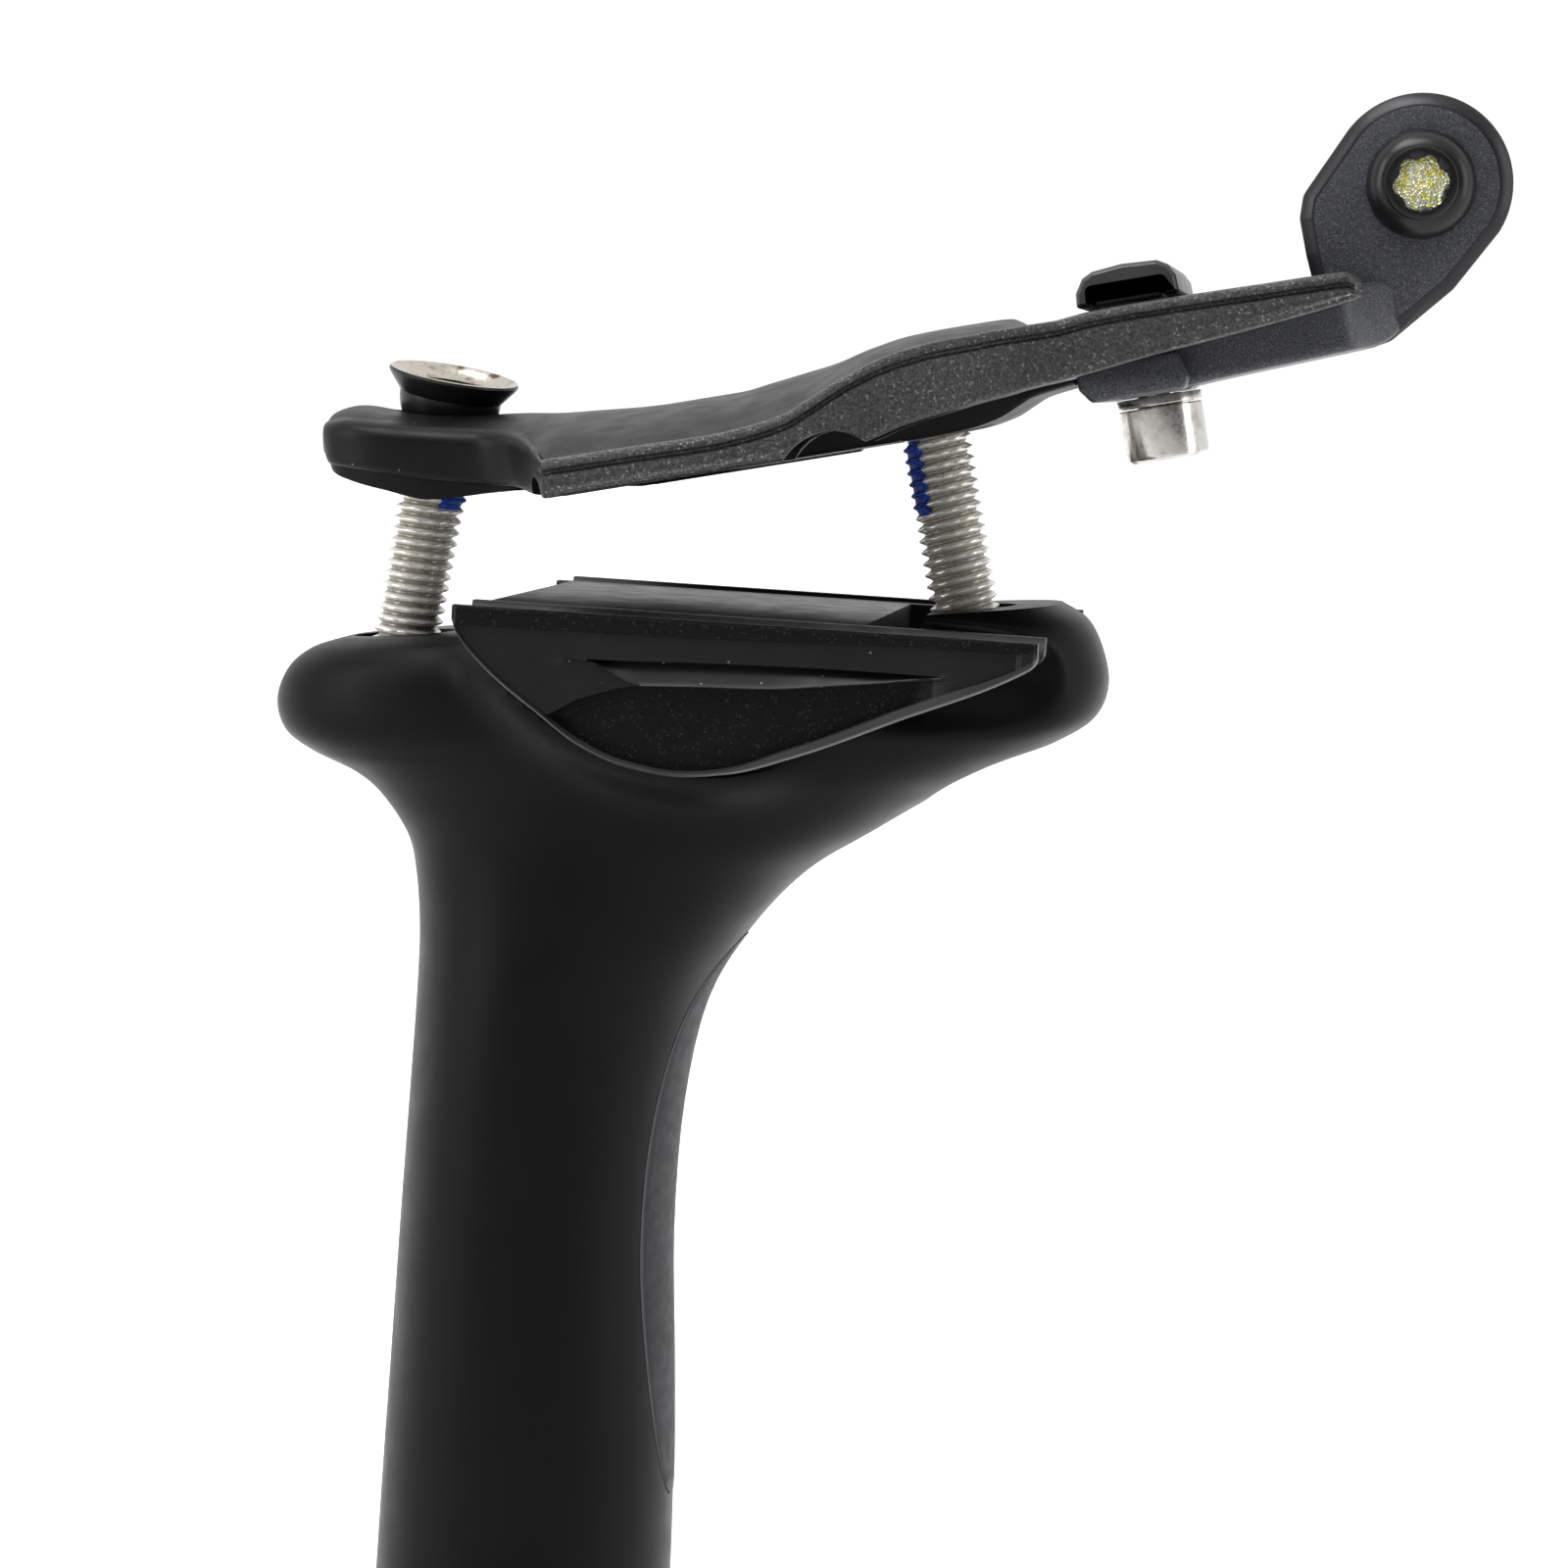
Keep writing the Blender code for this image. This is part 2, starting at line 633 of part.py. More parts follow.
def clamp_section(row):
    """The clamp's cross section at one station, from the crown down its right side and back up the left."""
    u, width, crown, rim, lower, inner, web, keel, bottom = row
    fall = crown - rim
    half = (
        (0, crown),
        (0.38 * width, crown - 0.10 * fall),
        (0.68 * width, crown - 0.42 * fall),
        (width - 1.2, rim),
        (width, rim - 0.3),
        (width, lower + 0.3),
        (width - 0.4, lower),
        (inner, lower),
        (inner - 0.4, web),
        (keel + 0.4, web),
        (keel, web + (bottom - web) * 0.85),
        (keel - 0.5, bottom),
        (0, bottom),
    )
    other = [(-y, v) for y, v in reversed(half[1:-1])]
    return [Vector((u * MM, y * MM, v * MM)) for y, v in (*half, *other)]


def make_upper_clamp():
    rows = between(CLAMP_STATIONS, 2)
    body = loft("upper_clamp", [clamp_section(row) for row in rows])
    clamp = part("upper_clamp", body, cast_black, clamp_frame)
    for side, name in ((-1, "left"), (1, "right")):
        rings = []
        for u, inner, outer, low, high in between(BEAM_STATIONS, 2):
            corners = ((inner, low), (outer, low), (outer, high), (inner, high))
            rings.append([Vector((u * MM, side * y * MM, v * MM)) for y, v in corners])
        join(clamp, tool(name + "_beam", loft(name + "_beam", rings), clamp_frame))
    for side, name in ((-1, "left"), (1, "right")):
        y = side * RAIL_SPACING / 2
        groove = cylinder(
            name + "_groove",
            RAIL_DIAMETER / 2 + RAIL_CLEARANCE,
            (-45 * MM, y, -RAIL_BELOW_PIVOT),
            (10 * MM, y, -RAIL_BELOW_PIVOT),
        )
        notch = cylinder(
            name + "_notch",
            NOTCH_RADIUS,
            (NOTCH_U, side * 16 * MM, NOTCH_V),
            (NOTCH_U, side * 40 * MM, NOTCH_V),
        )
        cut(clamp, tool(name + "_groove", groove, clamp_frame), tool(name + "_notch", notch, clamp_frame))
    for end, frame, run in (
        ("front", front_nut_frame, FRONT_HOLE_RUN),
        ("rear", rear_nut_frame, REAR_HOLE_RUN),
    ):
        well = bowl(end + "_nut_well", NUT_SEAT_RADIUS, NUT_SEAT_RISE, NUT_WELL)
        cut(clamp, tool(end + "_nut_well", well, frame))
        for way, foot in (("straight", 0), ("swung", run)):
            name = f"{end}_hole_{way}"
            hole = cylinder(name, CLAMP_HOLE_RADIUS, (foot, 0, -HOLE_LENGTH), (0, 0, 0))
            cut(clamp, tool(name, hole, frame))


def make_nuts():
    """Nuts with a round underside and a dished, flared top, free to rock in the clamp."""
    under = arc((0, 0), NUT_RADIUS, 0, math.degrees(math.asin(NUT_BOTTOM / NUT_RADIUS)), 6)
    profile = (
        (NUT_FLANGE_RADIUS - NUT_EDGE[0], NUT_TOP),
        (NUT_FLANGE_RADIUS, NUT_TOP - NUT_EDGE[1]),
        *under,
        (NUT_BORE, NUT_BOTTOM),
        (NUT_BORE, NUT_TOP - NUT_DISH_DEPTH),
    )
    turned("front_clamp_nut", profile, nut_steel, front_nut_frame, tilt=(FRONT_NUT_CANT, 0, 0))
    turned("rear_clamp_nut", profile, nut_steel, rear_nut_frame)


def mm_points(points):
    return [(u * MM, v * MM) for u, v in points]


def make_bracket():
    bar = mm_points((
        (13.8, -0.6),
        (13.8, -4.6),
        (14.6, -5.5),
        (22.8, -5.3),
        (37.6, -4.4),
        (38.8, -3.4),
        (38.8, 0.9),
        (24.5, 0.9),
    ))
    bracket = part(
        "light_bracket",
        prism("light_bracket", bar, -BAR_HALF_WIDTH * MM, BAR_HALF_WIDTH * MM),
        bracket_black,
        clamp_frame,
    )
    foot = mm_points(((13.8, -3.9), (13.8, -4.6), (14.6, -5.5), (22.8, -5.5), (22.8, -2.7)))
    lug = mm_points((
        (34.2, 0.0),
        (33.8, 4.0),
        (33.8, 7.2),
        (34.4, 9.0),
        (35.8, 10.6),
        (38.4, 13.4),
        *arc(EYE, LUG_RADIUS, 140, -40, 18),
        (45.6, -0.7),
        (39.8, -4.2),
        (38.2, -4.5),
        (34.6, -4.6),
    ))
    join(
        bracket,
        tool("foot", prism("foot", foot, -FOOT_HALF_WIDTH * MM, FOOT_HALF_WIDTH * MM), clamp_frame),
        tool("lug", prism("lug", lug, -LUG_HALF_THICKNESS * MM, LUG_HALF_THICKNESS * MM), clamp_frame),
    )
    eye_u, eye_v = EYE[0] * MM, EYE[1] * MM
    eye = cylinder("eye", EYE_RADIUS, (eye_u, -9 * MM, eye_v), (eye_u, 9 * MM, eye_v))
    hole = cylinder("screw_hole", SCREW_HOLE_RADIUS, (SCREW_U, 0, -9 * MM), (SCREW_U, 0, 6 * MM))
    cut(bracket, tool("eye", eye, clamp_frame), tool("screw_hole", hole, clamp_frame))

    cap_outline = mm_points((
        (14.0, 2.35),
        (14.1, 3.8),
        (14.6, 5.1),
        (15.6, 5.8),
        (18.6, 6.0),
        (21.8, 5.8),
        (22.9, 5.1),
        (23.4, 3.9),
        (23.5, 2.35),
    ))
    cap = part(
        "nut_block",
        prism("nut_block", cap_outline, -CAP_HALF_WIDTH, CAP_HALF_WIDTH),
        black_steel,
        clamp_frame,
    )
    slot = block("cap_slot", (SLOT_WIDTH, 3 * CAP_HALF_WIDTH, SLOT_TOP), (SLOT_U, 0, SLOT_TOP / 2))
    cut(cap, tool("cap_slot", slot, clamp_frame))

    nut_centre = (SLOT_U, 0, NUT_BAR_V)
    nut_bar = part("nut_bar", block("nut_bar", NUT_BAR_SIZE, nut_centre), insert_alloy, clamp_frame)
    bar_hole = cylinder("nut_bar_hole", SCREW_HOLE_RADIUS, (SCREW_U, 0, 0), (SCREW_U, 0, 8 * MM))
    cut(nut_bar, tool("nut_bar_hole", bar_hole, clamp_frame))


def make_bracket_screw():
    frame = bpy.data.objects.new("screw_frame", None)
    frame.location = (SCREW_U, 0, 0)
    frame.parent = clamp_frame
    PARTS.objects.link(frame)
    bottom = SCREW_HEAD_TOP - SCREW_HEAD_HEIGHT
    tip = SCREW_TIP - SCREW_TIP_BELOW_CAP
    screw = turned(
        "bracket_screw",
        (
            (0, tip),
            (SCREW_SHANK_RADIUS, tip),
            (SCREW_SHANK_RADIUS, SCREW_HEAD_TOP),
            (SCREW_HEAD_RADIUS, SCREW_HEAD_TOP),
            (SCREW_HEAD_RADIUS, bottom + SCREW_CHAMFER),
            (SCREW_HEAD_RADIUS - SCREW_CHAMFER, bottom),
            (0, bottom),
        ),
        stainless,
        frame,
    )
    socket = cylinder(
        "screw_socket",
        SCREW_SOCKET_FLATS / math.sqrt(3),
        (0, 0, bottom - 1 * MM),
        (0, 0, bottom + SCREW_SOCKET_DEPTH),
        steps=6,
    )
    cut(screw, tool("screw_socket", socket, frame))
    washer_top, washer_low = SCREW_WASHER
    turned(
        "bracket_washer",
        (
            (SCREW_WASHER_RADIUS, washer_top),
            (SCREW_WASHER_RADIUS, washer_low),
            (SCREW_WASHER_BORE, washer_low),
            (SCREW_WASHER_BORE, washer_top),
        ),
        stainless,
        frame,
    )


def make_lug_fasteners():
    """A button-head screw through the lug's sleeve, its nut and washer on the far side."""
    frame = bpy.data.objects.new("lug_frame", None)
    frame.location = (EYE[0] * MM, 0, EYE[1] * MM)
    frame.rotation_euler = (math.radians(90), 0, 0)
    frame.parent = clamp_frame
    PARTS.objects.link(frame)
    face = LUG_HALF_THICKNESS * MM
    turned(
        "lug_sleeve",
        (
            (EYE_RADIUS - LUG_GAP, face),
            (EYE_RADIUS - LUG_GAP, -face),
            (SLEEVE_BORE, -face),
            (SLEEVE_BORE, face),
        ),
        insert_alloy,
        frame,
    )
    head = face + LUG_GAP
    screw = turned(
        "lug_screw",
        (
            (0, head + LUG_HEAD[0][1]),
            *[(radius, head + height) for radius, height in LUG_HEAD],
            (LUG_SHANK_RADIUS, head),
            (LUG_SHANK_RADIUS, LUG_SCREW_END),
            (0, LUG_SCREW_END),
        ),
        black_steel,
        frame,
    )
    floor = head + LUG_SOCKET_FLOOR
    socket = cylinder("lug_socket", LUG_SOCKET_RADIUS, (0, 0, floor), (0, 0, floor + 3 * MM), steps=24)
    cut(screw, tool("lug_socket", socket, frame))
    washer_top = -face - LUG_GAP
    washer_low = washer_top - LUG_WASHER_THICKNESS
    turned(
        "lug_washer",
        (
            (LUG_WASHER_RADIUS, washer_top),
            (LUG_WASHER_RADIUS, washer_low),
            (LUG_WASHER_BORE, washer_low),
            (LUG_WASHER_BORE, washer_top),
        ),
        stainless,
        frame,
    )
    nut_top = washer_low - LUG_GAP
    nut_low = nut_top - LUG_NUT_HEIGHT
    body = cylinder("lug_nut", LUG_NUT_FLATS / math.sqrt(3), (0, 0, nut_top), (0, 0, nut_low), steps=6)
    nut = part("lug_nut", body, stainless, frame)
    thread = cylinder("lug_thread", LUG_NUT_BORE, (0, 0, nut_low - 1 * MM), (0, 0, 0))
    cut(nut, tool("lug_thread", thread, frame))


make_post()
make_seats()
make_cradle()
make_upper_clamp()
make_nuts()
make_bracket()
make_bracket_screw()
make_lug_fasteners()
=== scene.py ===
"""A flexing seatpost, its saddle clamp and light bracket: the looks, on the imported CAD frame.

Local lengths are in millimetres. Each piece is drawn in its own frame: the rail frame (origin on
the saddle rails' axis), the clamp frame (u along the rail groove, v square to it) or a bolt's
frame (z along the bolt).
"""

import json
import math

import bmesh
import bpy
import numpy as np
from mathutils import Matrix, Vector


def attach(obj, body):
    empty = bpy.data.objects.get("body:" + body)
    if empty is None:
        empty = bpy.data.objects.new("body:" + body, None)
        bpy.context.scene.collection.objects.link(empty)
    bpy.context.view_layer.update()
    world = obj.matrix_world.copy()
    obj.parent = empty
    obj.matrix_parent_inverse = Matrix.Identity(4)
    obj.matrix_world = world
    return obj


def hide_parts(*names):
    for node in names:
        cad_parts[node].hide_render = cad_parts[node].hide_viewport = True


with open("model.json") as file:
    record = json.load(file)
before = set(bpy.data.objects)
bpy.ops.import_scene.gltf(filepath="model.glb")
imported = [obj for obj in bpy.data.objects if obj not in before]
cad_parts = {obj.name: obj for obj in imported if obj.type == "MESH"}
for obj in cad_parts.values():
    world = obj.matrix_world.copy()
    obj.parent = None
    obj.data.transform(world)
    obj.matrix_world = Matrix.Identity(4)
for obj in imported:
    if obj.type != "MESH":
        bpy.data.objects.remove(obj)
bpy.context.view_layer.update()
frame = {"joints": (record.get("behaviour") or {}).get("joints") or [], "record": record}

MM = 0.001
RECORD = frame["record"]
JOINTS = {joint["name"]: joint for joint in frame["joints"]}
BODY_OF = {node: body for body, nodes in RECORD["behaviour"]["bodies"].items() for node in nodes}

# ---- places taken from the record
RAIL_HEIGHT = 0.350
TILT = Vector(JOINTS["cradle_tilt"]["pos_m"])
REAR_PIVOT = Vector(JOINTS["clamp_rock"]["pos_m"])
FRONT_PIVOT = Vector(JOINTS["front_nut_pivot"]["pos_m"])
FRONT_SEAT = Vector(JOINTS["front_bolt_turn"]["pos_m"])
REAR_SEAT = Vector(JOINTS["rear_bolt_turn"]["pos_m"])
FRONT_AXIS = Vector(JOINTS["front_bolt_turn"]["axis"])
REAR_AXIS = Vector(JOINTS["rear_bolt_turn"]["axis"])
GROOVE_AXIS = Vector(JOINTS["bracket_slide"]["axis"])
TILT_X, TILT_Z = TILT.x / MM, (TILT.z - RAIL_HEIGHT) / MM


def frame_at(origin, up):
    """A frame in millimetres with its z along up and its y to the right of the bicycle."""
    y = Vector((0, 1, 0))
    x = y.cross(up).normalized()
    turn = Matrix((x, y, up)).transposed().to_4x4()
    return Matrix.Translation(origin) @ turn @ Matrix.Scale(MM, 4)


RAIL_FRAME = frame_at(Vector((0, 0, RAIL_HEIGHT)), Vector((0, 0, 1)))
CLAMP_FRAME = frame_at(REAR_PIVOT, Vector((-GROOVE_AXIS.z, 0, GROOVE_AXIS.x)))
FRONT_BOLT_FRAME = frame_at(FRONT_SEAT, FRONT_AXIS)
REAR_BOLT_FRAME = frame_at(REAR_SEAT, REAR_AXIS)
FRONT_WELL_FRAME = frame_at(FRONT_PIVOT, FRONT_AXIS)
FRONT_NUT_TILT = Matrix.Rotation(math.radians(6), 4, "X")
FRONT_NUT_FRAME = FRONT_WELL_FRAME @ FRONT_NUT_TILT
REAR_NUT_FRAME = frame_at(REAR_PIVOT, REAR_AXIS)

# ---- camera
CAMERA_PLACE = Vector((0.06826, -0.345, RAIL_HEIGHT + 0.02021))
CAMERA_YAW, CAMERA_PITCH, CAMERA_ROLL = (math.radians(a) for a in (8.024, 6.107, 3.349))
LENS, SENSOR = 91.35, 36.0
NEAREST, FARTHEST = 0.01, 100


def make_camera():
    forward = Vector((
        -math.sin(CAMERA_YAW) * math.cos(CAMERA_PITCH),
        math.cos(CAMERA_YAW) * math.cos(CAMERA_PITCH),
        -math.sin(CAMERA_PITCH),
    ))
    level = forward.cross(Vector((0, 0, 1))).normalized()
    upright = level.cross(forward)
    right = math.cos(CAMERA_ROLL) * level + math.sin(CAMERA_ROLL) * upright
    up = -math.sin(CAMERA_ROLL) * level + math.cos(CAMERA_ROLL) * upright
    data = bpy.data.cameras.new("camera")
    data.lens, data.sensor_width = LENS, SENSOR
    data.clip_start, data.clip_end = NEAREST, FARTHEST
    camera = bpy.data.objects.new("camera", data)
    turn = Matrix((right, up, -forward)).transposed().to_4x4()
    camera.matrix_world = Matrix.Translation(CAMERA_PLACE) @ turn
    bpy.context.scene.collection.objects.link(camera)
    bpy.context.scene.camera = camera


make_camera()


# ---- curves and meshes
SHARP_ANGLE = 34
MERGE, SLIVER = 1e-5, 1e-6


def curve(rows):
    """A smooth line through a table, monotone between rows: where first, then the values there."""
    table = np.array(rows, float)
    t, y = table[:, 0], table[:, 1:]
    step = np.diff(t)[:, None]
    slope = np.diff(y, axis=0) / step
    lean = np.zeros_like(y)
    lean[0], lean[-1] = slope[0], slope[-1]
    a, b = slope[:-1], slope[1:]
    before, after = step[:-1], step[1:]
    same = a * b > 0
    safe_a, safe_b = np.where(same, a, 1), np.where(same, b, 1)
    w1, w2 = 2 * after + before, after + 2 * before
    lean[1:-1] = np.where(same, (w1 + w2) / (w1 / safe_a + w2 / safe_b), 0)

    def value(x):
        x = np.clip(np.atleast_1d(np.asarray(x, float)), t[0], t[-1])
        i = np.clip(np.searchsorted(t, x, side="right") - 1, 0, len(t) - 2)
        h = (t[i + 1] - t[i])[:, None]
        s = (x[:, None] - t[i][:, None]) / h
        return (
            (1 + 2 * s) * (1 - s) ** 2 * y[i]
            + s * (1 - s) ** 2 * h * lean[i]
            + s * s * (3 - 2 * s) * y[i + 1]
            + s * s * (s - 1) * h * lean[i + 1]
        )

    return value


def ease(low, high, x):
    """0 below low, 1 above high, smooth between."""
    t = np.clip((np.asarray(x, float) - low) / (high - low), 0, 1)
    return t * t * (3 - 2 * t)


def build(name, rings, matrix, looks=None, capped=True):
    """A skin through closed rings of equal length. looks(i, j) gives a face's material number."""
    bm = bmesh.new()
    rows = [[bm.verts.new(p) for p in ring] for ring in rings]
    count = len(rows[0])
    for i in range(len(rows) - 1):
        low, high = rows[i], rows[i + 1]
        for j in range(count):
            k = (j + 1) % count
            face = bm.faces.new((low[j], low[k], high[k], high[j]))
            face.material_index = looks(i, j) if looks else 0
    if capped:
        for row in (rows[0], rows[-1]):
            bm.faces.new(row)
    return finished(name, bm, matrix)


def finished(name, bm, matrix):
    """The mesh of a bmesh, cleaned and placed."""
    bmesh.ops.remove_doubles(bm, verts=bm.verts, dist=MERGE)
    bmesh.ops.dissolve_degenerate(bm, edges=bm.edges, dist=SLIVER)
    bmesh.ops.recalc_face_normals(bm, faces=bm.faces)
    mesh = bpy.data.meshes.new(name)
    bm.to_mesh(mesh)
    bm.free()
    mesh.transform(matrix)
    soften(mesh, SHARP_ANGLE)
    return mesh


def soften(mesh, angle):
    mesh.shade_smooth()
    mesh.set_sharp_from_angle(angle=math.radians(angle))


def carve(mesh, looks, unions=(), cuts=(), angle=SHARP_ANGLE):
    """The mesh with others joined to it and others cut from it; all share one list of looks."""
    scene = bpy.context.scene.collection
    for one in (mesh, *unions, *cuts):
        for look in looks:
            one.materials.append(look)
    base = bpy.data.objects.new("carve_base", mesh)
    scene.objects.link(base)
    helpers = []
    for kind, others in (("UNION", unions), ("DIFFERENCE", cuts)):
        for other in others:
            helper = bpy.data.objects.new("carve_tool", other)
            scene.objects.link(helper)
            helpers.append(helper)
            step = base.modifiers.new("carve", "BOOLEAN")
            step.object, step.operation, step.solver = helper, kind, "MANIFOLD"
            step.material_mode = "INDEX"
    bpy.context.view_layer.update()
    graph = bpy.context.evaluated_depsgraph_get()
    made = bpy.data.meshes.new_from_object(base.evaluated_get(graph))
    made.name = mesh.name
    for obj in (base, *helpers):
        bpy.data.objects.remove(obj)
    soften(made, angle)
    return made


def piece(node, mesh, looks):
    """A piece that stands for one CAD node and rides where the node rides."""
    if not mesh.materials:
        for look in looks:
            mesh.materials.append(look)
    obj = bpy.data.objects.new(node + "_detail", mesh)
    bpy.context.scene.collection.objects.link(obj)
    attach(obj, BODY_OF[node])
    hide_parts(node)
    return obj


def rounded(points, radius, steps=4):
    """A closed outline with its corners rounded."""
    made = []
    count = len(points)
    for i in range(count):
        p = np.array(points[i], float)
        a = np.array(points[i - 1], float) - p
        b = np.array(points[(i + 1) % count], float) - p
        la, lb = np.linalg.norm(a), np.linalg.norm(b)
        a, b = a / la, b / lb
        cosine = float(np.clip(a @ b, -1, 1))
        if cosine < -0.9995:
            made.append(tuple(p))
            continue
        half = math.acos(cosine) / 2
        reach = min(radius / math.tan(half), 0.46 * la, 0.46 * lb)
        start, end = p + a * reach, p + b * reach
        for k in range(steps + 1):
            s = k / steps
            made.append(tuple((1 - s) ** 2 * start + 2 * s * (1 - s) * p + s * s * end))
    return made


def inset(outline, depth):
    """A closed outline moved inwards by a depth."""
    pts = np.array(outline, float)
    area = np.sum(pts[:, 0] * np.roll(pts[:, 1], -1) - np.roll(pts[:, 0], -1) * pts[:, 1])
    turn = 1 if area > 0 else -1
    ahead = np.roll(pts, -1, axis=0) - pts
    ahead /= np.maximum(np.linalg.norm(ahead, axis=1), 1e-9)[:, None]
    inward = turn * np.stack([-ahead[:, 1], ahead[:, 0]], axis=1)
    behind = np.roll(inward, 1, axis=0)
    miter = (inward + behind) / np.maximum(1 + np.sum(inward * behind, axis=1), 0.4)[:, None]
    return pts + miter * depth


def slab(name, outline, levels, matrix, looks=None):
    """An outline in the xz plane, run along y through (y, inset) levels."""
    rings = []
    for y, depth in levels:
        shrunk = inset(outline, depth) if depth else np.array(outline, float)
        rings.append([(x, y, z) for x, z in shrunk])
    return build(name, rings, matrix, looks)


def edges(half, *steps):
    """Levels for a slab of a half thickness whose two faces have the same rounded edge."""
    first = [(-half + back, depth) for back, depth in steps]
    return first + [(-y, depth) for y, depth in reversed(first)]


def around(steps):
    """Angles that share out a full turn."""
    return [2 * math.pi * k / steps for k in range(steps)]


def hexagon(angle, flats):
    """The radius of a hexagon at an angle."""
    return flats / 2 / math.cos(angle % (math.pi / 3) - math.pi / 6)


def lobes(angle, radius):
    """The radius of a six-lobed socket at an angle."""
    return radius * (1 + 0.10 * math.cos(6 * angle))


def turned(name, profile, matrix, steps=64, ring=False, looks=None):
    """A profile of (radius, z) or (radius, z, shape) turned about z. ring joins its two ends."""
    rows = []
    for radius, z, *shape in (*profile, profile[0]) if ring else profile:
        row = []
        for angle in around(steps):
            r = shape[0](angle, radius) if shape else radius
            row.append((r * math.cos(angle), r * math.sin(angle), z))
        rows.append(row)
    return build(name, rows, matrix, looks, capped=False)


def turned_piece(node, profile, matrix, materials, slot, **how):
    piece(node, turned(node + "_detail", profile, matrix, **how), materials)


def moved(profile, z):
    """A turned profile moved along its axis."""
    return [(radius, height + z, *shape) for radius, height, *shape in profile]


def rod(name, radius, start, end, matrix, steps=64):
    """A plain cylinder between two points, for cutting."""
    start, end = Vector(start), Vector(end)
    turn = Vector((0, 0, 1)).rotation_difference(end - start).to_matrix()
    circle = [turn @ Vector((radius * math.cos(a), radius * math.sin(a), 0)) for a in around(steps)]
    return build(name, [[centre + point for point in circle] for centre in (start, end)], matrix)


# ---- materials
RANGE_SOCKETS = ("From Min", "From Max", "To Min", "To Max")


class Look:
    """A Principled material with nodes laid in metres of the object's own frame."""

    def __init__(self, name, metallic=0.0, specular=0.5):
        self.material = bpy.data.materials.new(name)
        self.material.use_nodes = True
        self.nodes = self.material.node_tree.nodes
        self.links = self.material.node_tree.links
        self.shader = self.nodes["Principled BSDF"]
        self.shader.inputs["Metallic"].default_value = metallic
        self.shader.inputs["Specular IOR Level"].default_value = specular
        self.place = self.nodes.new("ShaderNodeTexCoord").outputs["Object"]
        self.height = None

    def node(self, kind, **settings):
        made = self.nodes.new(kind)
        for key, value in settings.items():
            setattr(made, key, value)
        return made

    def noise(self, size, detail=2.0, roughness=0.5, stretch=(1, 1, 1)):
        """Soft noise whose blobs are about size millimetres across."""
        mapping = self.node("ShaderNodeMapping")
        self.links.new(self.place, mapping.inputs["Vector"])
        mapping.inputs["Scale"].default_value = tuple(1 / (s * size * MM) for s in stretch)
        made = self.node("ShaderNodeTexNoise")
        made.inputs["Scale"].default_value = 1.0
        made.inputs["Detail"].default_value = detail
        made.inputs["Roughness"].default_value = roughness
        self.links.new(mapping.outputs["Vector"], made.inputs["Vector"])
        return made.outputs["Fac"]

    def cells(self, size, output="Distance"):
        """Cells size millimetres across: the distance to their centres, or their colours."""
        made = self.node("ShaderNodeTexVoronoi")
        made.inputs["Scale"].default_value = 1 / (size * MM)
        self.links.new(self.place, made.inputs["Vector"])
        return made.outputs[output]

    def chance(self, size):
        """A number of its own for each cell."""
        made = self.node("ShaderNodeSeparateColor")
        self.links.new(self.cells(size, "Color"), made.inputs["Color"])
        return made.outputs["Red"]

    def spread(self, value, low, high, to_low=0.0, to_high=1.0):
        """The value eased from one range to another."""
        made = self.node("ShaderNodeMapRange", interpolation_type="SMOOTHSTEP")
        self.links.new(value, made.inputs["Value"])
        for socket, number in zip(RANGE_SOCKETS, (low, high, to_low, to_high)):
            made.inputs[socket].default_value = number
        return made.outputs["Result"]

    def patches(self, size, detail, low=0.3, high=0.7, to_low=0.0, to_high=1.0):
        """Noise eased from one range to another."""
        return self.spread(self.noise(size, detail), low, high, to_low, to_high)

    def product(self, a, b):
        made = self.node("ShaderNodeMath", operation="MULTIPLY")
        for socket, value in zip(made.inputs, (a, b)):
            if isinstance(value, float):
                socket.default_value = value
            else:
                self.links.new(value, socket)
        return made.outputs["Value"]

    def mix(self, factor, a, b):
        made = self.node("ShaderNodeMix", data_type="RGBA")
        self.links.new(factor, made.inputs["Factor"])
        for socket, value in ((made.inputs[6], a), (made.inputs[7], b)):
            if isinstance(value, tuple):
                socket.default_value = (*value, 1)
            else:
                self.links.new(value, socket)
        return made.outputs[2]

    def attribute(self, name):
        made = self.node("ShaderNodeAttribute", attribute_name=name)
        return made.outputs["Fac"]

    def colour(self, value):
        if isinstance(value, tuple):
            self.shader.inputs["Base Color"].default_value = (*value, 1)
        else:
            self.links.new(value, self.shader.inputs["Base Color"])
        return self

    def rough(self, value):
        if isinstance(value, float):
            self.shader.inputs["Roughness"].default_value = value
        else:
            self.links.new(value, self.shader.inputs["Roughness"])
        return self

    def bump(self, height, depth, strength=1.0):
        """Relief of a depth in millimetres, on top of any already given."""
        made = self.node("ShaderNodeBump")
        made.inputs["Distance"].default_value = depth * MM
        made.inputs["Strength"].default_value = strength
        self.links.new(height, made.inputs["Height"])
        if self.height is not None:
            self.links.new(self.height, made.inputs["Normal"])
        self.height = made.outputs["Normal"]
        self.links.new(self.height, self.shader.inputs["Normal"])
        return self


